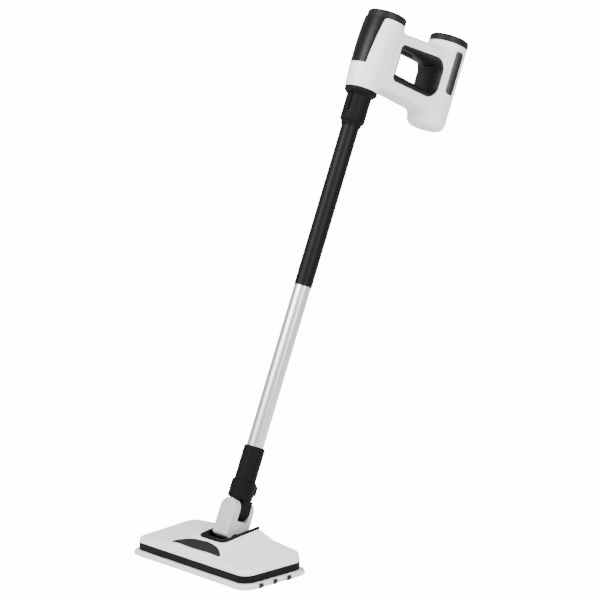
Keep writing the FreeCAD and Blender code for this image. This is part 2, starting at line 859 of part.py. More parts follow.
def bridge_block(inset):
    """The plate that joins both cylinders and holds the hand opening. Its top climbs to the rear."""
    front = sheet.front_top_y
    rear = sheet.rear_y
    half = sheet.bridge_half - inset
    low = sheet.bridge_bottom + inset
    side_view = [
        FreeCAD.Vector(-half, front, low),
        FreeCAD.Vector(-half, rear, low),
        FreeCAD.Vector(-half, rear, sheet.bridge_top_rear - inset),
        FreeCAD.Vector(-half, front, sheet.bridge_top_front - inset),
    ]
    body = solid_of(Part.Face(polygon(side_view)).extrude(FreeCAD.Vector(2 * half, 0, 0)))

    def along_y(edge):
        return edge.BoundBox.YLength > 50

    return rounded_edges(body, "bridge_round", along_y)


def casing(inset):
    low = sheet.front_bottom + inset
    return fuse(
        front_column(inset, low, sheet.front_top),
        rear_column(inset, "rear_bottom + %s" % inset, "rear_top"),
        bridge_block(inset),
    )


def rounded_outline(x, corners):
    """A closed wire in the plane X = x through corners of (y, z, radius), each rounded by its radius."""
    starts = []
    arcs = []
    ends = []
    for index, (y, z, radius) in enumerate(corners):
        corner = FreeCAD.Vector(x, y, z)
        before = FreeCAD.Vector(x, *corners[index - 1][:2]) - corner
        after = FreeCAD.Vector(x, *corners[(index + 1) % len(corners)][:2]) - corner
        half_angle = before.getAngle(after) / 2
        before.normalize()
        after.normalize()
        reach = radius / tan(half_angle)
        inwards = (before + after).normalize()
        middle = corner + inwards * (radius / sin(half_angle) - radius)
        start = corner + before * reach
        end = corner + after * reach
        starts.append(start)
        ends.append(end)
        arcs.append(Part.Arc(start, middle, end).toShape())
    edges = []
    for index, arc in enumerate(arcs):
        edges.append(arc)
        edges.append(Part.makeLine(ends[index], starts[(index + 1) % len(arcs)]))
    return Part.Wire(edges)


def mouth_corners(grow=0.0):
    front = sheet.opening_front - grow
    rear = sheet.opening_rear + grow
    low = sheet.opening_low - grow
    return [
        (front, low, sheet.opening_front_corner),
        (rear, low, sheet.opening_rear_corner),
        (rear, sheet.opening_high_rear + grow, sheet.opening_rear_corner),
        (front, sheet.opening_high_front + grow, sheet.opening_front_corner),
    ]


def throat_corners():
    corner = sheet.throat_corner
    return [
        (sheet.throat_front, sheet.throat_low, corner),
        (sheet.throat_rear, sheet.throat_low, corner),
        (sheet.throat_rear, sheet.throat_high, corner),
        (sheet.throat_front, sheet.throat_high, corner),
    ]


def through_block(half, corners):
    face = Part.Face(rounded_outline(-half, corners))
    return solid_of(face.extrude(FreeCAD.Vector(2 * half, 0, 0)))


def flare(side):
    """The slanted mouth of the hand opening on one side."""
    inner = rounded_outline(side * sheet.throat_half, throat_corners())
    outer = rounded_outline(side * (sheet.bridge_half + 0.5), mouth_corners())
    return solid_of(Part.makeLoft([inner, outer], True, True))


def panel_plan(grow=0.0):
    """The front panel's outline as a block through the front wall: wide at the top, narrow at the foot,
    and sweeping out into the cap's lower edge."""
    low = sheet.panel_bottom - grow
    high = sheet.front_top
    neck = high - sheet.panel_sweep
    rise = high - sheet.panel_bottom
    flare_half = sheet.panel_top_half - sheet.panel_bottom_half
    neck_half = sheet.panel_bottom_half + flare_half * (neck - low) / rise
    half = {"foot": sheet.panel_bottom_half + grow, "neck": neck_half + grow}
    half["top"] = half["neck"] + sheet.panel_sweep
    edges = [Part.makeLine(place(-half["foot"], low), place(-half["neck"], neck))]
    edges.append(sweep_arc(-1, half, neck, high))
    edges.append(Part.makeLine(place(-half["top"], high), place(half["top"], high)))
    edges.append(sweep_arc(1, half, neck, high))
    edges.append(Part.makeLine(place(half["neck"], neck), place(half["foot"], low)))
    edges.append(Part.makeLine(place(half["foot"], low), place(-half["foot"], low)))
    face = Part.Face(Part.Wire(Part.__sortEdges__(edges)))
    return solid_of(face.extrude(FreeCAD.Vector(0, -100, 0)))


def place(x, z):
    return FreeCAD.Vector(x, 0, z)


def sweep_arc(side, half, neck, high):
    """The concave curve from the panel's side into the cap's lower edge."""
    middle_x = half["neck"] + (half["top"] - half["neck"]) * 0.32
    middle_z = neck + (high - neck) * 0.72
    arc = Part.Arc(
        place(side * half["neck"], neck), place(side * middle_x, middle_z), place(side * half["top"], high)
    )
    return arc.toShape()


def front_skin(inside, outside):
    """A layer of the front cylinder's wall, measured inwards and outwards from its surface."""
    outer = front_column(-value_of(outside), sheet.front_bottom, sheet.front_top)
    inner = front_column(value_of(inside), sheet.front_bottom - 1, sheet.front_top + 1)
    return cut(outer, inner)


def window_plan(grow="0"):
    """The level window's outline as a block through both sides of the rear cylinder."""
    half = "window_width / 2 + %s" % grow
    block = box(
        ("-60", "window_y - (%s)" % half, "window_low - %s" % grow),
        ("60", "window_y + %s" % half, "window_high + %s" % grow),
    )

    def along_x(edge):
        return edge.BoundBox.XLength > 10

    return rounded_edges(block, "window_round", along_x)


def make_shells():
    for name, low, high in (("unit_shell_right", "0", "200"), ("unit_shell_left", "-200", "0")):
        openings = [
            through_block(sheet.bridge_half + 20, mouth_corners(sheet.liner_wall)),
            common(front_skin("panel_depth", "panel_depth"), panel_plan(sheet.panel_gap)),
            window_plan("panel_gap"),
            cylinder("inlet_radius", "40", "0", "rear_y + rear_radius - 20", "inlet_height", "Y"),
            cylinder("flange_radius - 1", "10", "0", "front_bottom_y", "front_bottom - 1"),
            cylinder("front_cap_radius - 2 * shell_wall", "20", "0", "front_cap_y", "front_top - 4"),
            cylinder("cap_mouth", "40", "0", "rear_y", "rear_top - 20"),
        ]
        shell = cut(casing(0), casing(sheet.shell_wall), *openings)
        side = box((low, "-200", "bridge_bottom - 100"), (high, "400", "rear_cap_top + 100"))
        subpart(name, common(shell, side))


def make_grip_liner():
    body = through_block(sheet.bridge_half, mouth_corners(sheet.liner_wall))
    throat = through_block(sheet.throat_half + 0.01, throat_corners())
    trigger_room = box(
        ("-trigger_half - running_gap", "trigger_front - running_gap", "throat_high - 1"),
        ("trigger_half + running_gap", "trigger_rear + running_gap", "opening_high_rear + 10"),
    )
    mouths = [flare(side) for side in (1, -1)]
    subpart("grip_liner", cut(body, throat, trigger_room, *mouths))


def make_front_panel():
    plate = common(front_skin("panel_depth", "panel_rise"), panel_plan())
    subpart("front_panel", plate)


def make_front_cap():
    height = "front_cap_top - front_top"
    body = cylinder("front_cap_radius", height, "0", "front_cap_y", "front_top")

    def top_rim(edge):
        return edge.BoundBox.ZMin > sheet.front_cap_top - 1 and edge.BoundBox.XLength > 10

    outside = rounded_edges(body, "cap_bevel", top_rim)
    hollow = cylinder(
        "front_cap_radius - shell_wall", height + " - shell_wall", "0", "front_cap_y", "front_top - 0.01"
    )
    button_hole = cylinder("power_radius + running_gap", "40", "0", "front_cap_y", "front_cap_top - 20")
    subpart("front_cap", cut(outside, hollow, button_hole))


def make_power_button():
    height = "power_rise + shell_wall + 1"
    head = cylinder("power_radius", height, "0", "front_cap_y", "front_cap_top - shell_wall - 1")
    collar_low = "front_cap_top - shell_wall - 1.3 - power_travel"
    collar = cylinder("power_radius + 2", "1", "0", "front_cap_y", collar_low)
    stem = cylinder("power_radius - 4", "4", "0", "front_cap_y", "front_cap_top - shell_wall - 4.5")
    subpart("power_button", fuse(head, collar, stem))


def make_level_windows():
    wall = cut(
        cylinder("rear_radius - panel_rise / 2", "200", "0", "rear_y", "rear_bottom"),
        cylinder("rear_radius - window_depth", "200", "0", "rear_y", "rear_bottom"),
    )
    subpart("level_windows", common(wall, window_plan()))


def make_water_tank():
    height = "tank_top - tank_bottom"
    body = cylinder("tank_radius", height, "0", "tank_y", "tank_bottom")
    hollow = cylinder(
        "tank_radius - tank_wall", height + " - 2 * tank_wall", "0", "tank_y", "tank_bottom + tank_wall"
    )
    filler = cylinder("filler_radius", "20", "0", "rear_y", "tank_top - 10")
    outlet = cylinder("hose_radius", "20", "0", "tank_y - tank_radius - 10", "hose_height", "Y")
    subpart("water_tank", cut(body, hollow, filler, outlet))


def make_filler_plug():
    stem = cylinder("plug_radius", "plug_depth", "0", "rear_y", "rear_top + 3 - plug_depth")
    plate = cylinder("plug_radius + 4", "3", "0", "rear_y", "rear_top")
    axle = cylinder("plug_axle", "rear_cap_top - rear_top - 6", "0", "rear_y", "rear_top + 3")
    seal_groove = ring("plug_radius", "1.5", "0", "rear_y", "tank_top - 6")
    subpart("filler_plug", cut(fuse(stem, plate, axle), seal_groove))
    seal = ring("plug_radius - 0.5", "1", "0", "rear_y", "tank_top - 6")
    subpart("filler_seal", seal)


def make_rear_cap():
    height = "rear_cap_top - rear_top"
    body = cylinder("rear_cap_radius", height + " - running_gap", "0", "rear_y", "rear_top + running_gap")

    def top_rim(edge):
        return edge.BoundBox.ZMin > sheet.rear_cap_top - 1 and edge.BoundBox.XLength > 10

    outside = rounded_edges(body, "cap_bevel", top_rim)
    hollow = cylinder("rear_cap_radius - 4", height + " - 4", "0", "rear_y", "rear_top - 0.01")
    hub = tube("plug_axle + 4", "plug_axle + fit_gap", height + " - 7", "0", "rear_y", "rear_top + 3.3")
    axle_bore = cylinder("plug_axle + fit_gap", height + " - 3 - 2.9", "0", "rear_y", "rear_top + 3")
    subpart("rear_cap", cut(fuse(cut(outside, hollow), hub), axle_bore))


def make_boiler():
    block = cylinder("boiler_radius", "boiler_height", "0", "boiler_y", "boiler_bottom")
    passage = cylinder("hose_radius", "boiler_height - 8", "0", "boiler_y", "boiler_bottom - 0.01")
    subpart("boiler", cut(block, passage))
    coils = [
        cut(
            ring("heater_ring", "heater_radius", "0", "boiler_y", "boiler_bottom + %d" % height),
            cylinder("boiler_radius", "60", "0", "boiler_y", "boiler_bottom"),
        )
        for height in (10, 20, 30)
    ]
    subpart("heating_element", group(*coils))
    subpart("thermostat", cylinder("7", "5", "0", "boiler_y + 8", "boiler_bottom + boiler_height"))
    fuse_height = "boiler_bottom + boiler_height + 2"
    subpart("thermal_fuse", cylinder("2", "16", "-8", "boiler_y - 8", fuse_height, "X"))


def make_pump():
    subpart("pump", cylinder("pump_radius", "pump_height", "0", "pump_y", "pump_bottom"))


def make_control_board():
    board = box(
        ("-board_width / 2", "front_top_y - board_depth / 2", "board_bottom"),
        ("board_width / 2", "front_top_y + board_depth / 2", "board_bottom + board_thickness"),
    )
    subpart("control_board", board)
    switch = box(
        ("-5", "trigger_rear - 24", "throat_high + 12.5"),
        ("5", "trigger_rear - 10", "throat_high + 12.5 + 7"),
    )
    subpart("trigger_switch", switch)


def make_steam_trigger():
    low = "throat_high - trigger_rise"
    button = box(
        ("-trigger_half", "trigger_front", low), ("trigger_half", "trigger_rear", "throat_high + 6")
    )
    stem = box(("-3", "trigger_rear - 20", "throat_high + 6"), ("3", "trigger_rear - 14", "throat_high + 9"))
    subpart("steam_trigger", fuse(button, stem))


def make_hoses():
    reach = "tank_y - tank_radius - pump_y - pump_radius"
    water = tube("hose_radius", "hose_bore", reach, "0", "pump_y + pump_radius", "hose_height", "Y")
    subpart("water_hose", water)
    rise = "boiler_bottom - pump_bottom - pump_height"
    feed = tube("hose_radius", "hose_bore", rise, "0", "boiler_y", "pump_bottom + pump_height")
    subpart("boiler_feed_hose", feed)
    drop = "boiler_bottom - flange_top - 2.5"
    steam = tube("hose_radius", "hose_bore", drop, "0", "-boiler_y - 2", "flange_top + 2.5")
    subpart("steam_outlet_pipe", steam)


def make_cord_gland():
    outer_y = "rear_y + rear_radius - 1"
    body = cylinder("inlet_radius", "inlet_depth", "0", outer_y + " - inlet_depth", "inlet_height", "Y")
    hole = cylinder("inlet_bore", "inlet_depth", "0", outer_y + " - inlet_depth", "inlet_height", "Y")
    subpart("cord_gland", cut(body, hole))


def make_shell_screws():
    screws = []
    for y, z in (("60", "bridge_bottom + 8"), ("150", "bridge_bottom + 8"), ("60", "bridge_top_front - 8")):
        shank = cylinder("screw_radius", "2 * screw_reach", "-screw_reach", y, z, "X")
        head = cylinder("screw_head", "2", "-screw_reach - 2", y, z, "X")
        screws.append(fuse(shank, head))
    subpart("shell_screws", group(*screws))


def check_everything():
    """Every object of the document, then every sub-part's own shape."""
    doc.recompute()
    for thing in doc.Objects:
        if "Invalid" in thing.State or "Error" in thing.State:
            raise RuntimeError("%s failed: %s" % (thing.Name, thing.State))
    for thing in SUBPARTS:
        shape = thing.Shape
        if shape.isNull() or not shape.isValid() or shape.Volume <= 0:
            raise RuntimeError("%s has no valid shape" % thing.Label)


def write_parts():
    os.makedirs("parts", exist_ok=True)
    for thing in SUBPARTS:
        thing.Shape.exportStep("parts/%s.step" % thing.Label)
        bounds = thing.Shape.BoundBox
        print(
            "%-20s %2d solids %9.1f cm3  z %7.1f to %7.1f"
            % (thing.Label, len(thing.Shape.Solids), thing.Shape.Volume / 1000, bounds.ZMin, bounds.ZMax)
        )


MAKERS = [
    make_pad,
    make_hook_strips,
    make_base,
    make_steam_manifold,
    make_steam_nozzles,
    make_cover,
    make_inlay,
    make_slot_trim,
    make_pitch_pins,
    make_head_pipe,
    make_cover_screws,
    make_yoke,
    make_roll_pin,
    make_neck,
    make_neck_latch,
    make_lower_wand,
    make_upper_wand,
    make_telescope_button,
    make_wand_socket,
    make_unit_latch,
    make_shells,
    make_grip_liner,
    make_front_panel,
    make_front_cap,
    make_power_button,
    make_level_windows,
    make_water_tank,
    make_filler_plug,
    make_rear_cap,
    make_boiler,
    make_pump,
    make_control_board,
    make_steam_trigger,
    make_hoses,
    make_cord_gland,
    make_shell_screws,
]

for make in MAKERS:
    make()
check_everything()
write_parts()
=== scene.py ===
import json
from math import cos, pi, radians, sin, tan

import bmesh
import bpy
import numpy as np
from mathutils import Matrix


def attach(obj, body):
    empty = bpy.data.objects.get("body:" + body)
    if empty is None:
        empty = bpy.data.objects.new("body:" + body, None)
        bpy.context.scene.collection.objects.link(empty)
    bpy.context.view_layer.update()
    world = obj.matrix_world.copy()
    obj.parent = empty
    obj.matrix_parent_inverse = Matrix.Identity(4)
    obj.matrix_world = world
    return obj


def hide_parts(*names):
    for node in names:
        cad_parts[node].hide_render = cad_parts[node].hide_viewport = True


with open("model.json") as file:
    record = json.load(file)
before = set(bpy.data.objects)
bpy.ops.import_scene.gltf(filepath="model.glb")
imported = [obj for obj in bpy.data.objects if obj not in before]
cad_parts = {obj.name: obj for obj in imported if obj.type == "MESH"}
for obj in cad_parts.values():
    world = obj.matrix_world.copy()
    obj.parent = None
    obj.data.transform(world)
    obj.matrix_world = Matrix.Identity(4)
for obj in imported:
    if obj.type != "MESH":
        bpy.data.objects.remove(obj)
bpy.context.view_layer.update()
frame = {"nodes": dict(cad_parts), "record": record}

import openvdb
from mathutils import Matrix, Vector

MM = 0.001

# The wand's own frame, as in the CAD: upright along Z, front towards -Y, then leant back on its foot.
LEAN = radians(23.0)
FOOT = Vector((0.0, 0.0302, 0.060))
LEANING = Matrix.Translation(FOOT) @ Matrix.Rotation(-LEAN, 4, "X")
UPRIGHT = Matrix.Identity(4)

# Casing of the steam unit, in millimetres of the wand's frame.
# Rings of the front cylinder: height, middle and radius.
FRONT_RINGS = ((920.0, 0.2, 34.3), (1000.0, 2.8, 39.4), (1069.5, 10.5, 41.6))
REAR_Y = 204.2
REAR_RADIUS = 41.2
REAR_LOW = 910.0
REAR_HIGH = 1092.0
BRIDGE_HALF = 35.0
BRIDGE_LOW = 936.0
BRIDGE_HIGH = 1056.0
BRIDGE_CLIMB = 0.11
SHELL_WALL = 2.6
# Corners of the hand opening as (towards the rear, along the wand, radius), at its mouths and throat.
MOUTH = ((44.5, 961.5, 8.0), (174.5, 965.5, 30.0), (174.5, 1049.2, 27.0), (44.5, 1034.0, 8.0))
THROAT = ((51.0, 980.0, 3.0), (167.0, 980.0, 3.0), (167.0, 1031.0, 3.0), (51.0, 1031.0, 3.0))
# The throat stays straight over this half width before it flares.
THROAT_FLAT = 5.0
# Window in the rear cylinder: its middle, half width, bottom, top and corner radius.
WINDOW = (205.0, 11.0, 987.0, 1078.0, 6.0)
# The window is cut from the side as far in as this distance from the middle.
WINDOW_DEEPEST = 20.0
# Radii of the round holes under the two caps, over the wand socket and round the cord's gland.
FRONT_HOLE = 34.0
REAR_HOLE = 36.0
SOCKET_HOLE = 31.0
INLET_HOLE = 9.0
INLET_HEIGHT = 934.0
# Half of the gap between the casing's two shells.
PARTING = 0.12
# How softly the casing's cylinders run into its bridges.
CASING_BLEND = 11.0
RELAX_FACTOR = 0.4


# ---------------------------------------------------------------- distance fields

def soft_min(a, b, blend):
    share = np.clip(0.5 + 0.5 * (b - a) / blend, 0.0, 1.0)
    return b * (1.0 - share) + a * share - blend * share * (1.0 - share)


def soft_max(a, b, blend):
    return -soft_min(-a, -b, blend)


def rounded_rectangle(u, v, half_u, half_v, corner):
    across = np.abs(u) - half_u + corner
    along = np.abs(v) - half_v + corner
    outside = np.hypot(np.maximum(across, 0.0), np.maximum(along, 0.0))
    return outside + np.minimum(np.maximum(across, along), 0.0) - corner


def between(value, low, high):
    return np.maximum(low - value, value - high)


def field_mesh(name, field, low, high, voxel, placing=UPRIGHT):
    """A mesh of the field's zero surface, in a box given in millimetres."""
    counts = [int((b - a) / voxel) + 2 for a, b in zip(low, high)]
    axes = [a + voxel * np.arange(n) for a, n in zip(low, counts)]
    x, y, z = np.meshgrid(*axes, indexing="ij", sparse=True)
    distance = np.broadcast_to(field(x, y, z), counts)
    band = 3.0 * voxel
    grid = openvdb.FloatGrid(background=band)
    grid.copyFromArray(np.clip(distance, -band, band).astype(np.float32))
    grid.transform = openvdb.createLinearTransform(voxelSize=voxel)
    points, triangles, quads = grid.convertToPolygons(isovalue=0.0, adaptivity=0.0)
    points = (points + np.array(low)) * MM
    faces = [tuple(reversed(face)) for face in quads.tolist() + triangles.tolist()]
    mesh = bpy.data.meshes.new(name)
    mesh.from_pydata(points.tolist(), [], faces)
    mesh.transform(placing)
    mesh.shade_smooth()
    thing = bpy.data.objects.new(name, mesh)
    bpy.context.scene.collection.objects.link(thing)
    return thing


def relax(thing, times):
    """Evens out the surface, which softens every edge a little."""
    smooth = thing.modifiers.new("relax", "SMOOTH")
    smooth.factor = RELAX_FACTOR
    smooth.iterations = times
    apply_modifiers(thing)


def apply_modifiers(thing):
    depsgraph = bpy.context.evaluated_depsgraph_get()
    mesh = bpy.data.meshes.new_from_object(thing.evaluated_get(depsgraph))
    thing.modifiers.clear()
    thing.data = mesh


def grid_mesh(name, rows, closed_rows=False, closed_columns=True, placing=UPRIGHT):
    """A mesh over rows of points, in millimetres."""
    count = len(rows[0])
    points = [Vector(point) * MM for row in rows for point in row]
    faces = []
    row_total = len(rows) if closed_rows else len(rows) - 1
    column_total = count if closed_columns else count - 1
    for i in range(row_total):
        this_row = i * count
        next_row = (i + 1) % len(rows) * count
        for j in range(column_total):
            k = (j + 1) % count
            faces.append((this_row + j, this_row + k, next_row + k, next_row + j))
    mesh = bpy.data.meshes.new(name)
    mesh.from_pydata(points, [], faces)
    mesh.transform(placing)
    mesh.shade_smooth()
    thing = bpy.data.objects.new(name, mesh)
    bpy.context.scene.collection.objects.link(thing)
    return thing


def outward(thing):
    work = bmesh.new()
    work.from_mesh(thing.data)
    bmesh.ops.recalc_face_normals(work, faces=work.faces)
    work.to_mesh(thing.data)
    work.free()


def finish_piece(thing, body, material, slot_name, *nodes):
    """Gives a piece its material, and tells the frame its body and the nodes it stands for; its slot
    name is not used.
    """
    thing.data.materials.clear()
    thing.data.materials.append(material)
    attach(thing, body)
    if nodes:
        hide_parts(*nodes)


# ---------------------------------------------------------------- materials

def new_material(name):
    material = bpy.data.materials.new(name)
    material.use_nodes = True
    return material, material.node_tree.nodes, material.node_tree.links


def texture_place(nodes, links, turn=0.0):
    """Object coordinates for a texture, turned about X."""
    coordinates = nodes.new("ShaderNodeTexCoord")
    mapping = nodes.new("ShaderNodeMapping")
    mapping.inputs["Rotation"].default_value = (turn, 0.0, 0.0)
    links.new(coordinates.outputs["Object"], mapping.inputs["Vector"])
    return mapping.outputs["Vector"]


def noise(nodes, links, vector, scale, detail=3.0):
    texture = nodes.new("ShaderNodeTexNoise")
    texture.inputs["Scale"].default_value = scale
    texture.inputs["Detail"].default_value = detail
    links.new(vector, texture.inputs["Vector"])
    return texture.outputs["Fac"]


def ramp(nodes, links, factor, low_place, low_colour, high_place, high_colour):
    colour_ramp = nodes.new("ShaderNodeValToRGB")
    first, last = colour_ramp.color_ramp.elements
    first.position, first.color = low_place, (*low_colour, 1.0)
    last.position, last.color = high_place, (*high_colour, 1.0)
    links.new(factor, colour_ramp.inputs["Fac"])
    return colour_ramp.outputs["Color"]


def remap(nodes, links, factor, low, high):
    """The factor, from 0 to 1, carried over to the range from low to high."""
    span = nodes.new("ShaderNodeMapRange")
    span.inputs["To Min"].default_value = low
    span.inputs["To Max"].default_value = high
    links.new(factor, span.inputs["Value"])
    return span.outputs["Result"]


def share_of(nodes, links, value, low, high):
    """The value's share of the way from low to high."""
    spread = nodes.new("ShaderNodeMapRange")
    spread.inputs["From Min"].default_value = low
    spread.inputs["From Max"].default_value = high
    links.new(value, spread.inputs["Value"])
    return spread.outputs["Result"]


def bump(nodes, links, height, strength, distance, normal=None):
    node = nodes.new("ShaderNodeBump")
    node.inputs["Strength"].default_value = strength
    node.inputs["Distance"].default_value = distance
    links.new(height, node.inputs["Height"])
    if normal is not None:
        links.new(normal, node.inputs["Normal"])
    return node.outputs["Normal"]


def moulded(name, colour, roughness, spread=0.05, grain=1800.0, depth=0.00004, shine=0.5, metallic=0.0):
    """Moulded plastic, paint or rough metal: a fine grain, faint flow marks and an uneven sheen."""
    material, nodes, links = new_material(name)
    shader = nodes["Principled BSDF"]
    place = texture_place(nodes, links)
    flow = noise(nodes, links, place, 9.0, 2.0)
    fine = noise(nodes, links, place, grain, 2.0)
    darker = tuple(part * (1.0 - spread) for part in colour)
    links.new(ramp(nodes, links, flow, 0.3, darker, 0.7, colour), shader.inputs["Base Color"])
    uneven = remap(nodes, links, fine, roughness - 0.06, roughness + 0.06)
    links.new(uneven, shader.inputs["Roughness"])
    links.new(bump(nodes, links, fine, 0.35, depth), shader.inputs["Normal"])
    shader.inputs["Metallic"].default_value = metallic
    shader.inputs["Specular IOR Level"].default_value = shine
    return material


def patterned(name, dark, light, roughness, pitch, shine):
    """Black moulding with a fine cross-hatched pattern: its bands lie about twice the pitch apart."""
    material, nodes, links = new_material(name)
    shader = nodes["Principled BSDF"]
    place = texture_place(nodes, links, LEAN)
    heights = []
    for angle in (45.0, -45.0):
        turned = nodes.new("ShaderNodeMapping")
        turned.inputs["Rotation"].default_value = (radians(angle), radians(angle / 3), 0.0)
        links.new(place, turned.inputs["Vector"])
        wave = nodes.new("ShaderNodeTexWave")
        wave.inputs["Scale"].default_value = 1.0 / pitch / BAND_SCALE
        wave.inputs["Distortion"].default_value = 0.6
        wave.bands_direction = "Z"
        links.new(turned.outputs["Vector"], wave.inputs["Vector"])
        heights.append(wave.outputs["Fac"])
    weave = nodes.new("ShaderNodeMath")
    weave.operation = "MULTIPLY"
    links.new(heights[0], weave.inputs[0])
    links.new(heights[1], weave.inputs[1])
    speckle = noise(nodes, links, place, 900.0, 3.0)
    mixed = nodes.new("ShaderNodeMath")
    mixed.operation = "MULTIPLY_ADD"
    mixed.inputs[2].default_value = 0.1
    links.new(weave.outputs[0], mixed.inputs[0])
    links.new(speckle, mixed.inputs[1])
    links.new(ramp(nodes, links, mixed.outputs[0], 0.1, dark, 0.6, light), shader.inputs["Base Color"])
    uneven = remap(nodes, links, weave.outputs[0], roughness, roughness + 0.15)
    links.new(uneven, shader.inputs["Roughness"])
    links.new(bump(nodes, links, weave.outputs[0], 0.3, 0.0001), shader.inputs["Normal"])
    shader.inputs["Specular IOR Level"].default_value = shine
    return material


def drawn_metal(name, colour, roughness):
    """Anodised or plated metal with faint drawing lines along the wand."""
    material, nodes, links = new_material(name)
    shader = nodes["Principled BSDF"]
    place = texture_place(nodes, links, LEAN)
    long_place = nodes.new("ShaderNodeMapping")
    long_place.inputs["Scale"].default_value = (1.0, 1.0, 0.02)
    links.new(place, long_place.inputs["Vector"])
    lines = noise(nodes, links, long_place.outputs["Vector"], 1500.0, 2.0)
    cloud = noise(nodes, links, place, 14.0, 2.0)
    dull = tuple(part * 0.93 for part in colour)
    links.new(ramp(nodes, links, cloud, 0.3, dull, 0.7, colour), shader.inputs["Base Color"])
    uneven = remap(nodes, links, lines, roughness - 0.06, roughness + 0.1)
    links.new(uneven, shader.inputs["Roughness"])
    links.new(bump(nodes, links, lines, 0.15, 0.00003), shader.inputs["Normal"])
    shader.inputs["Metallic"].default_value = 1.0
    return material


def microfibre(name, colour, sheen=0.4):
    """Short looped pile: fine tufts, soft shade between them and a cloth sheen."""
    material, nodes, links = new_material(name)
    shader = nodes["Principled BSDF"]
    place = texture_place(nodes, links)
    tufts = nodes.new("ShaderNodeTexVoronoi")
    tufts.inputs["Scale"].default_value = 420.0
    links.new(place, tufts.inputs["Vector"])
    fuzz = noise(nodes, links, place, 1500.0, 3.0)
    patches = noise(nodes, links, place, 45.0, 3.0)
    shade = tuple(part * 0.82 for part in colour)
    links.new(ramp(nodes, links, patches, 0.25, shade, 0.75, colour), shader.inputs["Base Color"])
    soft = bump(nodes, links, fuzz, 0.5, 0.0003)
    links.new(bump(nodes, links, tufts.outputs["Distance"], 0.7, 0.0008, soft), shader.inputs["Normal"])
    links.new(remap(nodes, links, fuzz, 0.85, 1.0), shader.inputs["Roughness"])
    shader.inputs["Sheen Weight"].default_value = sheen
    shader.inputs["Sheen Roughness"].default_value = 0.6
    return material


def smoked(name, colour, alpha):
    """Clear plastic with a faint haze."""
    material, nodes, links = new_material(name)
    shader = nodes["Principled BSDF"]
    place = texture_place(nodes, links)
    haze = noise(nodes, links, place, 120.0, 3.0)
    paler = tuple(min(1.0, part * 1.3) for part in colour)
    links.new(ramp(nodes, links, haze, 0.2, colour, 0.8, paler), shader.inputs["Base Color"])
    links.new(remap(nodes, links, haze, 0.08, 0.18), shader.inputs["Roughness"])
    shader.inputs["Alpha"].default_value = alpha
    return material


def window_painted_highlight(name, pale, dark, near, far):
    """A smoked strip with a painted highlight: paler towards the wand and dark at the rear."""
    material, nodes, links = new_material(name)
    shader = nodes["Principled BSDF"]
    place = texture_place(nodes, links, LEAN)
    parts = nodes.new("ShaderNodeSeparateXYZ")
    links.new(place, parts.inputs["Vector"])
    ripple = noise(nodes, links, place, 60.0, 3.0)
    across = nodes.new("ShaderNodeMath")
    across.operation = "MULTIPLY_ADD"
    across.inputs[1].default_value = 0.004
    links.new(ripple, across.inputs[0])
    links.new(parts.outputs["Y"], across.inputs[2])
    share = share_of(nodes, links, across.outputs[0], near, far)
    # Painted highlight: paler towards the wand, dark at the rear.
    links.new(ramp(nodes, links, share, 0.0, pale, 1.0, dark), shader.inputs["Base Color"])
    links.new(remap(nodes, links, ripple, 0.16, 0.24), shader.inputs["Roughness"])
    shader.inputs["Specular IOR Level"].default_value = 0.35
    return material


# Divides the wave texture's own scale, so that a pattern is set by its pitch in metres.
BAND_SCALE = 6.3
DEEP_BLACK = (0.004, 0.004, 0.0043)
# The window's painted highlight towards the wand, and its dark rear.
WINDOW_PAINTED_HIGHLIGHT = (0.11, 0.11, 0.115)
WINDOW_DARK = (0.008, 0.008, 0.009)
# Where the window's painted highlight fades to dark, in metres of its turned coordinates.
WINDOW_NEAR = 0.1965
WINDOW_FAR = 0.2135

WHITE = moulded("white_plastic", (0.86, 0.86, 0.86), 0.38, spread=0.02)
LIGHT_GREY = moulded("yoke_plastic", (0.50, 0.50, 0.49), 0.5, spread=0.03)
BLACK = moulded("black_plastic", DEEP_BLACK, 0.6, spread=0.3, grain=1200.0, depth=0.00008, shine=0.1)
INLAY = moulded("inlay_plastic", (0.013, 0.013, 0.0135), 0.6, spread=0.2, grain=900.0, shine=0.15)
TUBE_BLACK = moulded(
    "tube_paint", DEEP_BLACK, 0.46, spread=0.3, grain=2400.0, depth=0.00002, shine=0.12
)
PATTERNED = patterned(
    "patterned_black", (0.008, 0.008, 0.009), (0.024, 0.024, 0.025), 0.42, 0.0011, 0.1
)
PANEL = patterned("panel_black", (0.005, 0.005, 0.0055), (0.011, 0.011, 0.0115), 0.3, 0.0009, 0.12)
ALUMINIUM = drawn_metal("anodised_aluminium", (0.86, 0.86, 0.87), 0.3)
STEEL = drawn_metal("plated_steel", (0.62, 0.62, 0.64), 0.28)
BRASS = drawn_metal("brass", (0.72, 0.52, 0.25), 0.3)
CAST = moulded(
    "cast_aluminium", (0.55, 0.55, 0.56), 0.5, spread=0.1, grain=500.0, depth=0.0002, metallic=1.0
)
RUBBER = moulded("silicone_rubber", (0.03, 0.03, 0.03), 0.7, spread=0.2, grain=800.0)
GREY = moulded("grey_plastic", (0.28, 0.28, 0.29), 0.5, spread=0.1)
PIPE = moulded("pipe_plastic", (0.6, 0.6, 0.56), 0.4, spread=0.1)
BOARD = moulded("circuit_board", (0.03, 0.16, 0.06), 0.4, spread=0.3, grain=600.0)
CLOTH = microfibre("microfibre", (0.80, 0.80, 0.79))
HOOKS = microfibre("hook_tape", (0.008, 0.008, 0.008), 0.02)
TANK_PLASTIC = smoked("tank_plastic", (0.6, 0.66, 0.68), 0.45)
LINER = moulded("liner_plastic", (0.008, 0.008, 0.009), 0.5, spread=0.3, grain=1200.0, shine=0.3)
WINDOW_PLASTIC = window_painted_highlight("smoked_window", WINDOW_PAINTED_HIGHLIGHT, WINDOW_DARK, WINDOW_NEAR, WINDOW_FAR)

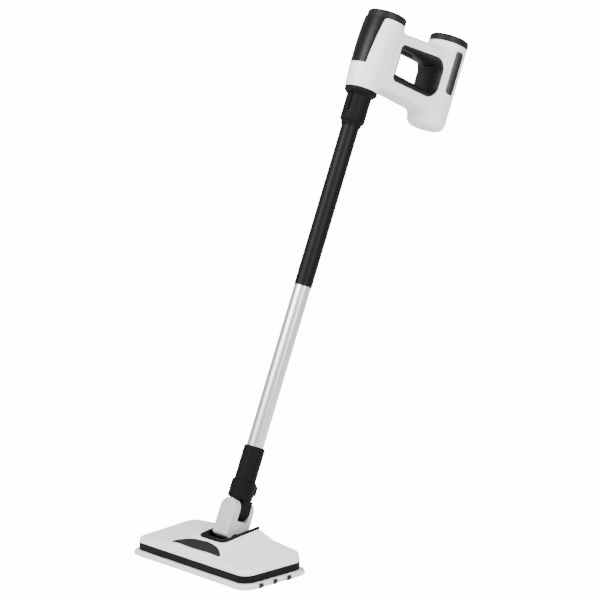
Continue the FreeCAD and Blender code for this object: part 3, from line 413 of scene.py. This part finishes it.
NODE_MATERIALS = {
    "white_shell": WHITE,
    "black_plastic": BLACK,
    "gloss_black": PATTERNED,
    "grey_inlay": INLAY,
    "silver_tube": ALUMINIUM,
    "black_tube": TUBE_BLACK,
    "microfibre": CLOTH,
    "hook_tape": HOOKS,
    "steel": STEEL,
    "brass_fitting": BRASS,
    "pipe": PIPE,
    "seal_rubber": RUBBER,
    "grey_plastic": GREY,
    "smoked_window": WINDOW_PLASTIC,
    "clear_tank": TANK_PLASTIC,
    "boiler_metal": CAST,
    "board": BOARD,
}


def dress_nodes():
    """Gives every CAD node its slot's material, and the front panel its own."""
    for row in frame["record"]["subparts"]:
        node = frame["nodes"][row["node"]]
        material = NODE_MATERIALS[row["material_slot"]]
        if row["node"] == "front_panel":
            material = PANEL
        node.data.materials.clear()
        node.data.materials.append(material)


# ---------------------------------------------------------------- steam unit

def front_line(z):
    """Middle and radius of the front cylinder at a height: smooth curves through its rings."""
    heights, middles, radii = zip(*FRONT_RINGS)
    middle = np.polyval(np.polyfit(heights, middles, 2), z)
    radius = np.polyval(np.polyfit(heights, radii, 2), z)
    return middle, radius


def casing_outside(x, y, z):
    """Distance to the casing as if solid: a front cylinder, the bridges and a rear cylinder."""
    middle, radius = front_line(z)
    front = np.hypot(x, y - middle) - radius
    front = soft_max(front, between(z, FRONT_RINGS[0][0], FRONT_RINGS[-1][0]), 1.0)
    rear = np.hypot(x, y - REAR_Y) - REAR_RADIUS
    rear = soft_max(rear, REAR_LOW - z, 20.0)
    rear = soft_max(rear, z - REAR_HIGH, 1.0)
    bridge_high = BRIDGE_HIGH + BRIDGE_CLIMB * (y - FRONT_RINGS[-1][1])
    bridge_middle = (bridge_high + BRIDGE_LOW) / 2
    bridge = rounded_rectangle(x, z - bridge_middle, BRIDGE_HALF, (bridge_high - BRIDGE_LOW) / 2, 12.0)
    bridge = soft_max(bridge, between(y, FRONT_RINGS[-1][1] + 6.0, REAR_Y - 6.0), 1.0)
    body = soft_min(front, bridge, CASING_BLEND)
    return soft_min(body, rear, CASING_BLEND)


def opening_distance(y, z, corners, grow):
    """Distance to the mouth's outline: its top climbs to the rear and its rear corners are rounder."""
    (front, low_front, small), (rear, low_rear, foot) = corners[:2]
    (_, high_rear, large), (_, high_front, _) = corners[2:]
    share = np.clip((y - front) / (rear - front), 0.0, 1.0)
    low = low_front + (low_rear - low_front) * share
    high = high_front + (high_rear - high_front) * share
    rounder = np.where(z > (low + high) / 2, large, foot)
    corner = np.where(share > 0.5, rounder, small)
    along = y - (front + rear) / 2
    above = z - (low + high) / 2
    return rounded_rectangle(along, above, (rear - front) / 2 + grow, (high - low) / 2 + grow, corner)


def casing(x, y, z):
    """Distance to the casing's wall, with the hand opening, the window and round holes cut out."""
    outside = casing_outside(x, y, z)
    shell = np.maximum(outside, -(outside + SHELL_WALL))
    mouth = opening_distance(y, z, MOUTH, 1.8)
    shell = soft_max(shell, -mouth, 1.5)
    middle, half, low, high, corner = WINDOW
    window = rounded_rectangle(y - middle, z - (low + high) / 2, half, (high - low) / 2, corner)
    window = np.maximum(window, WINDOW_DEEPEST - np.abs(x))
    shell = soft_max(shell, -window, 1.2)
    front_low, front_high = FRONT_RINGS[0][0], FRONT_RINGS[-1][0]
    front_middle = front_line(front_high)[0]
    front_hole = np.maximum(np.hypot(x, y - front_middle) - FRONT_HOLE, front_high - 3.0 - z)
    rear_hole = np.maximum(np.hypot(x, y - REAR_Y) - REAR_HOLE, REAR_HIGH - 20.0 - z)
    socket_hole = np.maximum(np.hypot(x, y - FRONT_RINGS[0][1]) - SOCKET_HOLE, z - front_low - 4.0)
    inlet = np.maximum(np.hypot(x, z - INLET_HEIGHT) - INLET_HOLE, REAR_Y + 20.0 - y)
    for hole in (front_hole, rear_hole, socket_hole, inlet):
        shell = np.maximum(shell, -hole)
    return shell


def make_casing():
    """Two white shells, cut from one casing at the middle plane."""
    whole = field_mesh("casing", casing, (-44.0, -42.0, 905.0), (44.0, 250.0, 1097.0), 1.25)
    relax(whole, 2)
    for name, side in (("casing_right", 1), ("casing_left", -1)):
        half = whole.copy()
        half.data = whole.data.copy()
        half.name = name
        bpy.context.scene.collection.objects.link(half)
        work = bmesh.new()
        work.from_mesh(half.data)
        parting = PARTING * MM * side
        cut = bmesh.ops.bisect_plane(
            work,
            geom=work.verts[:] + work.edges[:] + work.faces[:],
            plane_co=(parting, 0, 0),
            plane_no=(-side, 0, 0),
            clear_outer=True,
        )
        rims = [edge for edge in cut["geom_cut"] if isinstance(edge, bmesh.types.BMEdge)]
        bmesh.ops.triangle_fill(work, edges=rims, use_beauty=False)
        work.to_mesh(half.data)
        work.free()
        half.data.transform(LEANING)
        half.data.shade_smooth()
        node = "unit_shell_right" if side > 0 else "unit_shell_left"
        finish_piece(half, "steam_unit", WHITE, "white_shell", node)
    bpy.data.objects.remove(whole)


def rounded_outline(corners):
    """Points round a polygon of (y, z, radius) corners."""
    steps = 10
    points = []
    for index, (y, z, radius) in enumerate(corners):
        corner = Vector((y, z))
        before = (Vector(corners[index - 1][:2]) - corner).normalized()
        after = (Vector(corners[(index + 1) % len(corners)][:2]) - corner).normalized()
        half_angle = before.angle(after) / 2
        start = corner + before * (radius / tan(half_angle))
        middle = corner + (before + after).normalized() * (radius / sin(half_angle))
        turn = pi - 2 * half_angle
        spoke = start - middle
        for step in range(steps + 1):
            angle = turn * step / steps
            rotated = Matrix.Rotation(angle, 2) @ spoke
            points.append(tuple(middle + rotated))
    return points


def blended_corners(share, grow=0.0):
    """The hand opening's corners at a share of the way from its throat to its mouth."""
    corners = []
    for throat, mouth in zip(THROAT, MOUTH):
        corners.append(tuple(a + (b - a) * share for a, b in zip(throat, mouth)))
    if not grow:
        return corners
    centre_y = (MOUTH[0][0] + MOUTH[1][0]) / 2
    centre_z = (MOUTH[0][1] + MOUTH[2][1]) / 2
    grown = []
    for y, z, radius in corners:
        wide = grow if y > centre_y else -grow
        tall = grow if z > centre_z else -grow
        grown.append((y + wide, z + tall, radius + grow / 2))
    return grown


def make_grip_liner():
    """The flared black lining of the hand opening: rings of its outline from one side to the other."""
    rings = []
    stations = 31
    reach = BRIDGE_HALF + 0.4
    flare = 2.6
    rim_width = 1.7
    for index in range(stations):
        x = (-1.0 + 2.0 * index / (stations - 1)) * reach
        share = max(0.0, (abs(x) - THROAT_FLAT) / (reach - THROAT_FLAT)) ** flare
        rings.append([(x, y, z) for y, z in rounded_outline(blended_corners(share))])
    for side in (1, -1):
        rim = rounded_outline(blended_corners(1.0, rim_width))
        rings.append([(side * (BRIDGE_HALF + 0.1), y, z) for y, z in rim])
    liner = grid_mesh("grip_lining", rings, closed_rows=True, placing=LEANING)
    outward(liner)
    finish_piece(liner, "steam_unit", LINER, "black_plastic", "grip_liner")


# ---------------------------------------------------------------- floor head

HEAD_HALF_X = 164.5
HEAD_HALF_Y = 77.5
HEAD_CORNER = 23.0
COVER_LOW = 26.5
COVER_WALL = 3.0
# The cover's heights over the slot, beside it and at the ends, as (at the front edge, climb, curve).
COVER_MIDDLE = (45.2, 25.4, -5.1)
COVER_SHOULDER = (41.0, 15.8, -5.0)
COVER_END = (35.5, 8.7, 0.0)
# Distances from the middle: the hump over the slot fades out over its width, then the ends fall away.
HUMP_START = 36.0
HUMP_WIDTH = 52.0
END_START = 80.0
# Turns a height over the sloping top into a distance from it.
TOP_SLOPE = 0.96
SLOT_HALF = 36.0
SLOT_FRONT = -19.0
# The slot runs on past the head's rear edge.
SLOT_REAR = 120.0
SLOT_CORNER = 14.0
TRIM_GAP = 0.1
TRIM_WALL = 6.0
TRIM_FRONT = 10.0
TRIM_LOW = 16.6
TRIM_FLOOR = 18.5
TRIM_RISE = 2.8
TRIM_REAR = 77.0
INLAY_HALF = 75.0
INLAY_FRONT = -66.0
INLAY_PEAK = -30.0
# How far behind its front the inlay's two arcs cross, and how softly they meet there.
INLAY_TIP = 6.0
INLAY_BLEND = 9.0


def climbing(terms, along):
    start, climb, curve = terms
    return start + (climb + curve * along) * along


def cover_height(x, y):
    """The crowned top: high along the slot, falling to the ends, lower at the front."""
    reach = np.abs(x)
    along = np.clip((y + HEAD_HALF_Y) / (2 * HEAD_HALF_Y), 0.0, 1.0)
    middle = climbing(COVER_MIDDLE, along)
    end = climbing(COVER_END, along)
    shoulder = climbing(COVER_SHOULDER, along)
    hump = np.clip((reach - HUMP_START) / HUMP_WIDTH, 0.0, 1.0)
    hump = hump * hump * (3.0 - 2.0 * hump)
    side = np.clip((reach - END_START) / (HEAD_HALF_X - END_START), 0.0, 1.0)
    return middle + (shoulder - middle) * hump + (end - shoulder) * side


def slot_plan(x, y, side_wall, front_wall):
    """The swivel slot's outline, pulled in by its lining's walls."""
    half = SLOT_HALF - side_wall
    front = SLOT_FRONT + front_wall
    return rounded_rectangle(x, y - (front + SLOT_REAR) / 2, half, (SLOT_REAR - front) / 2, SLOT_CORNER)


def cover_outside(x, y, z):
    """Distance to the cover as if it were solid: its sides lean in a little under a rounded top."""
    lean_in = 0.16 * np.clip(z - COVER_LOW, 0.0, 60.0) * 0.6
    sides = rounded_rectangle(x, y, HEAD_HALF_X, HEAD_HALF_Y, HEAD_CORNER) + lean_in
    return soft_max(sides, (z - cover_height(x, y)) * TOP_SLOPE, 5.0)


def cover(x, y, z):
    outside = cover_outside(x, y, z)
    shell = np.maximum(outside, -(outside + COVER_WALL))
    shell = np.maximum(shell, COVER_LOW - z)
    return soft_max(shell, -slot_plan(x, y, 0.0, 0.0), 1.0)


def crescent(x, y):
    """Distance to the inlay's outline: a flat arc in front and a high arc behind."""
    edge = INLAY_FRONT + INLAY_TIP
    rear_rise = INLAY_PEAK - edge
    rear_radius = (INLAY_HALF ** 2 + rear_rise ** 2) / (2 * rear_rise)
    rear = np.hypot(x, y - (INLAY_PEAK - rear_radius)) - rear_radius
    front_radius = (INLAY_HALF ** 2 + INLAY_TIP ** 2) / (2 * INLAY_TIP)
    front = np.hypot(x, y - (INLAY_FRONT + front_radius)) - front_radius
    return soft_max(rear, front, INLAY_BLEND)


def make_cover():
    """The white cover with a groove for its inlay, the inlay and the slot's black lining."""

    def grooved(x, y, z):
        groove = np.maximum(crescent(x, y) - 0.3, -(cover_outside(x, y, z) + 1.0))
        return np.maximum(cover(x, y, z), -groove)

    shell = field_mesh("head_shell", grooved, (-166.0, -79.0, 25.0), (166.0, 79.0, 69.0), 1.25)
    relax(shell, 2)
    finish_piece(shell, "head", WHITE, "white_shell", "head_cover")

    def inlay(x, y, z):
        surface = cover_outside(x, y, z)
        skin = np.maximum(surface - 0.35, -(surface + 0.9))
        return soft_max(skin, crescent(x, y) + 0.2, 0.5)

    plate = field_mesh("crescent_inlay", inlay, (-78.0, -69.0, 38.0), (78.0, -24.0, 58.0), 0.7)
    relax(plate, 2)
    finish_piece(plate, "head", INLAY, "grey_inlay", "cover_inlay")

    def trim(x, y, z):
        outer = slot_plan(x, y, TRIM_GAP, TRIM_GAP)
        inner = slot_plan(x, y, TRIM_WALL, TRIM_FRONT)
        wall = np.maximum(np.maximum(outer, -inner), TRIM_LOW - z)
        floor = np.maximum(outer, between(z, TRIM_LOW, TRIM_FLOOR))
        over = z - cover_height(x, y)
        lip = np.maximum(slot_plan(x, y, -3.0, -1.0), -inner)
        lip = np.maximum(lip, 0.15 - over)
        body = np.minimum(np.minimum(wall, floor), lip)
        body = soft_max(body, (over - TRIM_RISE) * TOP_SLOPE, 2.0)
        return np.maximum(body, y - TRIM_REAR)

    liner = field_mesh("slot_lining", trim, (-41.0, -22.0, 15.0), (41.0, 78.5, 71.0), 0.8)
    relax(liner, 1)
    finish_piece(liner, "head", BLACK, "black_plastic", "slot_trim")


# ---------------------------------------------------------------- cleaning pad

PAD_HALF_X = 173.5
PAD_HALF_Y = 86.5
PAD_TOP = 12.4
PAD_CORNER = 25.0
# The padding's faces before it swells stay this far inside the pad's top and bottom.
PAD_SKIN = 0.6
# The cloth starts this much wider than the pad, and its rim curves in by the depth.
RIM_SPREAD = 1.0
RIM_DEPTH = 5.0
CLOTH_FRAMES = 20
CLOTH_PRESSURE = 4.0
# A point of the cloth may move this far.
CLOTH_REACH = 1.6
# The sewn channel runs this far inside the rim, and is this wide to each side and this deep.
CHANNEL_INSET = 9.5
CHANNEL_HALF = 3.0
CHANNEL_DEPTH = 1.3
# The rim's seam: its height, how far above and below it draws the cloth in, and how deep.
SEAM_HEIGHT = 7.4
SEAM_REACH = 1.6
SEAM_DEPTH = 0.9
TAB_PLACES = (-43.4, -7.0, 28.8)
# Half of the turn that a tab makes round the pad's edge.
TAB_BEND = radians(50)


def pad_ring(inset, z, count_side, corner_steps):
    """Points round the pad's outline, pulled in by the inset."""
    half_x = PAD_HALF_X - inset
    half_y = PAD_HALF_Y - inset
    corner = max(PAD_CORNER - inset, 2.0)
    corners = []
    for x, y, start in (
        (half_x - corner, half_y - corner, 0),
        (-half_x + corner, half_y - corner, 90),
        (-half_x + corner, -half_y + corner, 180),
        (half_x - corner, -half_y + corner, 270),
    ):
        arc = []
        for step in range(corner_steps + 1):
            angle = radians(start + 90 * step / corner_steps)
            arc.append((x + corner * cos(angle), y + corner * sin(angle), z))
        corners.append(arc)
    ring = []
    for index, arc in enumerate(corners):
        ring.extend(arc)
        start, end = arc[-1], corners[(index + 1) % 4][0]
        for step in range(1, count_side):
            share = step / count_side
            ring.append(tuple(a + (b - a) * share for a, b in zip(start, end)))
    return ring


def swell(pad):
    """Blow the pad up like a sewn cushion: a short cloth run whose points may move only so far."""
    start = np.array([vertex.co[:] for vertex in pad.data.vertices])
    cloth = pad.modifiers.new("swell", "CLOTH")
    cloth.settings.quality = 4
    cloth.settings.use_pressure = True
    cloth.settings.uniform_pressure_force = CLOTH_PRESSURE
    cloth.settings.effector_weights.gravity = 0.0
    for step in range(CLOTH_FRAMES):
        bpy.context.scene.frame_set(step + 1)
    swollen = pad.evaluated_get(bpy.context.evaluated_depsgraph_get())
    moved = np.array([vertex.co[:] for vertex in swollen.data.vertices]) - start
    pad.modifiers.remove(cloth)
    bpy.context.scene.frame_set(1)
    length = np.maximum(np.linalg.norm(moved, axis=1, keepdims=True), 1e-9)
    moved = moved * np.minimum(1.0, CLOTH_REACH * MM / length)
    pad.data.vertices.foreach_set("co", (start + moved).ravel())


def sew(pad):
    """Press the pad flat on the floor and under the base, and draw its seam and channels in."""
    for vertex in pad.data.vertices:
        x, y, z = (part / MM for part in vertex.co)
        rim = rounded_rectangle(np.array(x), np.array(y), PAD_HALF_X, PAD_HALF_Y, PAD_CORNER)
        channel = min(abs(rim + CHANNEL_INSET), CHANNEL_HALF) / CHANNEL_HALF
        top = PAD_TOP - 0.1 - CHANNEL_DEPTH * (1.0 - channel * channel)
        z = min(max(z, 0.0), top)
        if rim > -2.5:
            pinch = SEAM_DEPTH * max(0.0, 1.0 - abs(z - SEAM_HEIGHT) / SEAM_REACH)
            toward = Vector((x / PAD_HALF_X ** 2, y / PAD_HALF_Y ** 2)).normalized()
            x, y = x - toward.x * pinch, y - toward.y * pinch
        vertex.co = (x * MM, y * MM, z * MM)


def make_pad():
    """A quilted microfibre pad: a swollen body whose rim is pinched by its sewn seam."""
    profile = []
    steps = 14
    for step in range(steps + 1):
        angle = -pi / 2 + pi * step / steps
        inset = -RIM_SPREAD + RIM_DEPTH * (1.0 - max(cos(angle), 0.0) ** 0.75)
        profile.append((inset, PAD_TOP / 2 + (PAD_TOP / 2 - PAD_SKIN) * sin(angle)))
    insets = (25.0, 55.0, 80.0)
    over = [(inset, PAD_TOP - PAD_SKIN) for inset in insets]
    under = [(inset, PAD_SKIN) for inset in reversed(insets)]
    rows = [pad_ring(inset, z, 48, 10) for inset, z in under + profile + over]
    pad = grid_mesh("cleaning_cloth", rows)
    work = bmesh.new()
    work.from_mesh(pad.data)
    bmesh.ops.holes_fill(work, edges=[edge for edge in work.edges if edge.is_boundary])
    bmesh.ops.recalc_face_normals(work, faces=work.faces)
    work.to_mesh(pad.data)
    work.free()
    remesh = pad.modifiers.new("remesh", "REMESH")
    remesh.mode = "VOXEL"
    remesh.voxel_size = 4.0 * MM
    apply_modifiers(pad)
    swell(pad)
    subdivide = pad.modifiers.new("subdivide", "SUBSURF")
    subdivide.levels = 1
    subdivide.render_levels = 1
    apply_modifiers(pad)
    sew(pad)
    pad.data.shade_smooth()
    finish_piece(pad, "head", CLOTH, "microfibre", "cleaning_pad")


def make_pad_tabs():
    """Small dark sewn tabs on the pad's ends."""
    for side in (1, -1):
        for index, y in enumerate(TAB_PLACES):
            rows = []
            steps = 8
            for step in range(steps + 1):
                angle = TAB_BEND * (2 * step / steps - 1)
                x = side * (PAD_HALF_X - 6.0 + 6.3 * cos(angle) + 0.4)
                z = PAD_TOP / 2 + 5.2 * sin(angle) / sin(TAB_BEND)
                half_width = 5.0 + 1.2 * cos(7 * angle)
                rows.append([(x, y - half_width, z), (x + side * 0.35, y, z), (x, y + half_width, z)])
            name = "pad_tab_%d_%s" % (index, "right" if side > 0 else "left")
            tab = grid_mesh(name, rows, closed_columns=False)
            solid = tab.modifiers.new("thickness", "SOLIDIFY")
            solid.thickness = 0.5 * MM
            finish_piece(tab, "head", HOOKS, "hook_tape")


# ---------------------------------------------------------------- swivel

# The roll pin's height, and the lobes round it, in the wand's frame.
ROLL_HEIGHT = 45.0
YOKE_HALF = 21.0
YOKE_FRONT = -28.0
YOKE_REAR = 32.0
GAP_FRONT = -7.5
GAP_REAR = 19.5
GAP_RADIUS = 28.5
ROLL_BORE = 7.0
# The pitch pins lie this far below the frame's origin, in a barrel.
PITCH_DROP = 14.0
PITCH_BORE = 5.05
BARREL_RADIUS = 11.5
BARREL_HALF = 24.0
# How far out from the barrel the yoke's painted shade reaches.
BARREL_SHADE_REACH = 2.0


def yoke_field(x, y, z):
    """Two lobes joined by a block over a barrel, with a rounded gap for the neck's tongue."""
    from_roll = np.hypot(x, z - ROLL_HEIGHT)
    column = np.maximum(np.abs(x) - YOKE_HALF, z - ROLL_HEIGHT)
    plan = np.minimum(from_roll - YOKE_HALF, column)
    front_cut = (-9.0 - z) * 0.9 - (y - YOKE_FRONT) * 0.36
    rear_cut = (8.0 - z) * 0.42 + (y - YOKE_REAR) * 0.9
    lobes = soft_max(plan, between(y, YOKE_FRONT, YOKE_REAR), 6.0)
    lobes = soft_max(lobes, np.maximum(front_cut, rear_cut), 4.0)
    lobes = np.maximum(lobes, -PITCH_DROP - z)
    tongue = between(y, GAP_FRONT, GAP_REAR)
    gap = np.maximum(from_roll - GAP_RADIUS, tongue)
    slot = np.maximum(np.maximum(tongue, ROLL_HEIGHT - z), np.abs(x) - 40.0)
    lobes = soft_max(lobes, -np.minimum(gap, slot), 2.5)
    from_pitch = np.hypot(y, z + PITCH_DROP)
    barrel = np.maximum(from_pitch - BARREL_RADIUS, np.abs(x) - BARREL_HALF)
    body = soft_min(lobes, barrel, 4.0)
    pin = np.maximum(from_roll - ROLL_BORE, between(y, YOKE_FRONT + 2.0, YOKE_REAR - 2.0))
    return np.maximum(np.maximum(body, PITCH_BORE - from_pitch), -pin)


def make_yoke():
    """The swivel's yoke: light grey, with painted shade in black over its barrel."""
    low, high = (-29.0, -30.0, -29.0), (29.0, 34.0, 69.0)
    yoke = field_mesh("swivel_yoke", yoke_field, low, high, 0.8, LEANING)
    relax(yoke, 2)
    finish_piece(yoke, "yoke", LIGHT_GREY, "white_shell", "yoke")
    # Painted shade: faces round the barrel, low in the slot, are coloured black.
    yoke.data.materials.append(BLACK)
    back = LEANING.inverted()
    for polygon in yoke.data.polygons:
        spot = back @ polygon.center / MM
        from_pitch = Vector((spot.y, spot.z + PITCH_DROP)).length
        if spot.z < 0.5 and from_pitch < BARREL_RADIUS + BARREL_SHADE_REACH:
            polygon.material_index = 1


# ---------------------------------------------------------------- stage

BACKDROP_STRENGTH = 15.0
WORLD_STRENGTH = 0.6
# How far the floor glows to the camera rather than showing its shade.
FLOOR_GLOW = 0.96
FLOOR_REACH = 12.0
CAMERA_PLACE = Vector((3.0179, -2.6302, 1.2575))
CAMERA_TARGET = Vector((0.0, 0.22056, 0.49934))
CAMERA_LENS = 127.16
CAMERA_SENSOR = 36.0
LIGHT_SIZE = (1.5, 1.5)


def make_stage():
    """A wide pale floor, which looks bright to the camera and lights the mop as a plain one does."""
    floor_mesh = bpy.data.meshes.new("floor")
    signs = ((-1, -1), (1, -1), (1, 1), (-1, 1))
    corners = [(side * FLOOR_REACH, end * FLOOR_REACH, 0) for side, end in signs]
    floor_mesh.from_pydata(corners, [], [(0, 1, 2, 3)])
    floor = bpy.data.objects.new("floor", floor_mesh)
    bpy.context.scene.collection.objects.link(floor)
    material, nodes, links = new_material("pale_floor")
    shader = nodes["Principled BSDF"]
    place = texture_place(nodes, links)
    cloud = noise(nodes, links, place, 2.0)
    pale, paler = (0.93, 0.93, 0.93), (0.95, 0.95, 0.95)
    links.new(ramp(nodes, links, cloud, 0.2, pale, 0.8, paler), shader.inputs["Base Color"])
    shader.inputs["Roughness"].default_value = 0.9
    glow = nodes.new("ShaderNodeEmission")
    glow.inputs["Strength"].default_value = BACKDROP_STRENGTH
    path = nodes.new("ShaderNodeLightPath")
    share = nodes.new("ShaderNodeMath")
    share.operation = "MULTIPLY"
    share.inputs[1].default_value = FLOOR_GLOW
    links.new(path.outputs["Is Camera Ray"], share.inputs[0])
    mix = nodes.new("ShaderNodeMixShader")
    links.new(share.outputs[0], mix.inputs["Fac"])
    links.new(shader.outputs["BSDF"], mix.inputs[1])
    links.new(glow.outputs["Emission"], mix.inputs[2])
    links.new(mix.outputs["Shader"], nodes["Material Output"].inputs["Surface"])
    floor_mesh.materials.append(material)


def make_world():
    """Soft white light all round, behind which the camera sees a brighter backdrop."""
    world = bpy.data.worlds.new("studio")
    world.use_nodes = True
    nodes, links = world.node_tree.nodes, world.node_tree.links
    lighting = nodes["Background"]
    lighting.inputs["Color"].default_value = (1.0, 1.0, 1.0, 1.0)
    lighting.inputs["Strength"].default_value = WORLD_STRENGTH
    backdrop = nodes.new("ShaderNodeBackground")
    backdrop.inputs["Color"].default_value = (1.0, 1.0, 1.0, 1.0)
    backdrop.inputs["Strength"].default_value = BACKDROP_STRENGTH
    path = nodes.new("ShaderNodeLightPath")
    mix = nodes.new("ShaderNodeMixShader")
    links.new(path.outputs["Is Camera Ray"], mix.inputs["Fac"])
    links.new(lighting.outputs["Background"], mix.inputs[1])
    links.new(backdrop.outputs["Background"], mix.inputs[2])
    links.new(mix.outputs["Shader"], nodes["World Output"].inputs["Surface"])
    bpy.context.scene.world = world


def make_light(name, place, target, power):
    data = bpy.data.lights.new(name, "AREA")
    data.shape = "RECTANGLE"
    data.size, data.size_y = LIGHT_SIZE
    data.energy = power
    light = bpy.data.objects.new(name, data)
    light.location = place
    light.rotation_euler = (Vector(target) - Vector(place)).to_track_quat("-Z", "Y").to_euler()
    bpy.context.scene.collection.objects.link(light)


def make_camera():
    """A long lens from the front right, a little above the mop."""
    data = bpy.data.cameras.new("camera")
    data.sensor_width = CAMERA_SENSOR
    data.lens = CAMERA_LENS
    camera = bpy.data.objects.new("camera", data)
    camera.location = CAMERA_PLACE
    camera.rotation_euler = (CAMERA_TARGET - CAMERA_PLACE).to_track_quat("-Z", "Y").to_euler()
    bpy.context.scene.collection.objects.link(camera)
    bpy.context.scene.camera = camera


make_camera()
make_world()
make_stage()
make_light("key", (-0.3, -1.9, 2.4), (0.0, 0.4, 0.9), 135.0)
make_light("side", (2.6, -0.2, 2.1), (0.0, 0.5, 0.9), 120.0)
dress_nodes()
make_casing()
make_grip_liner()
make_cover()
make_pad()
make_pad_tabs()
make_yoke()
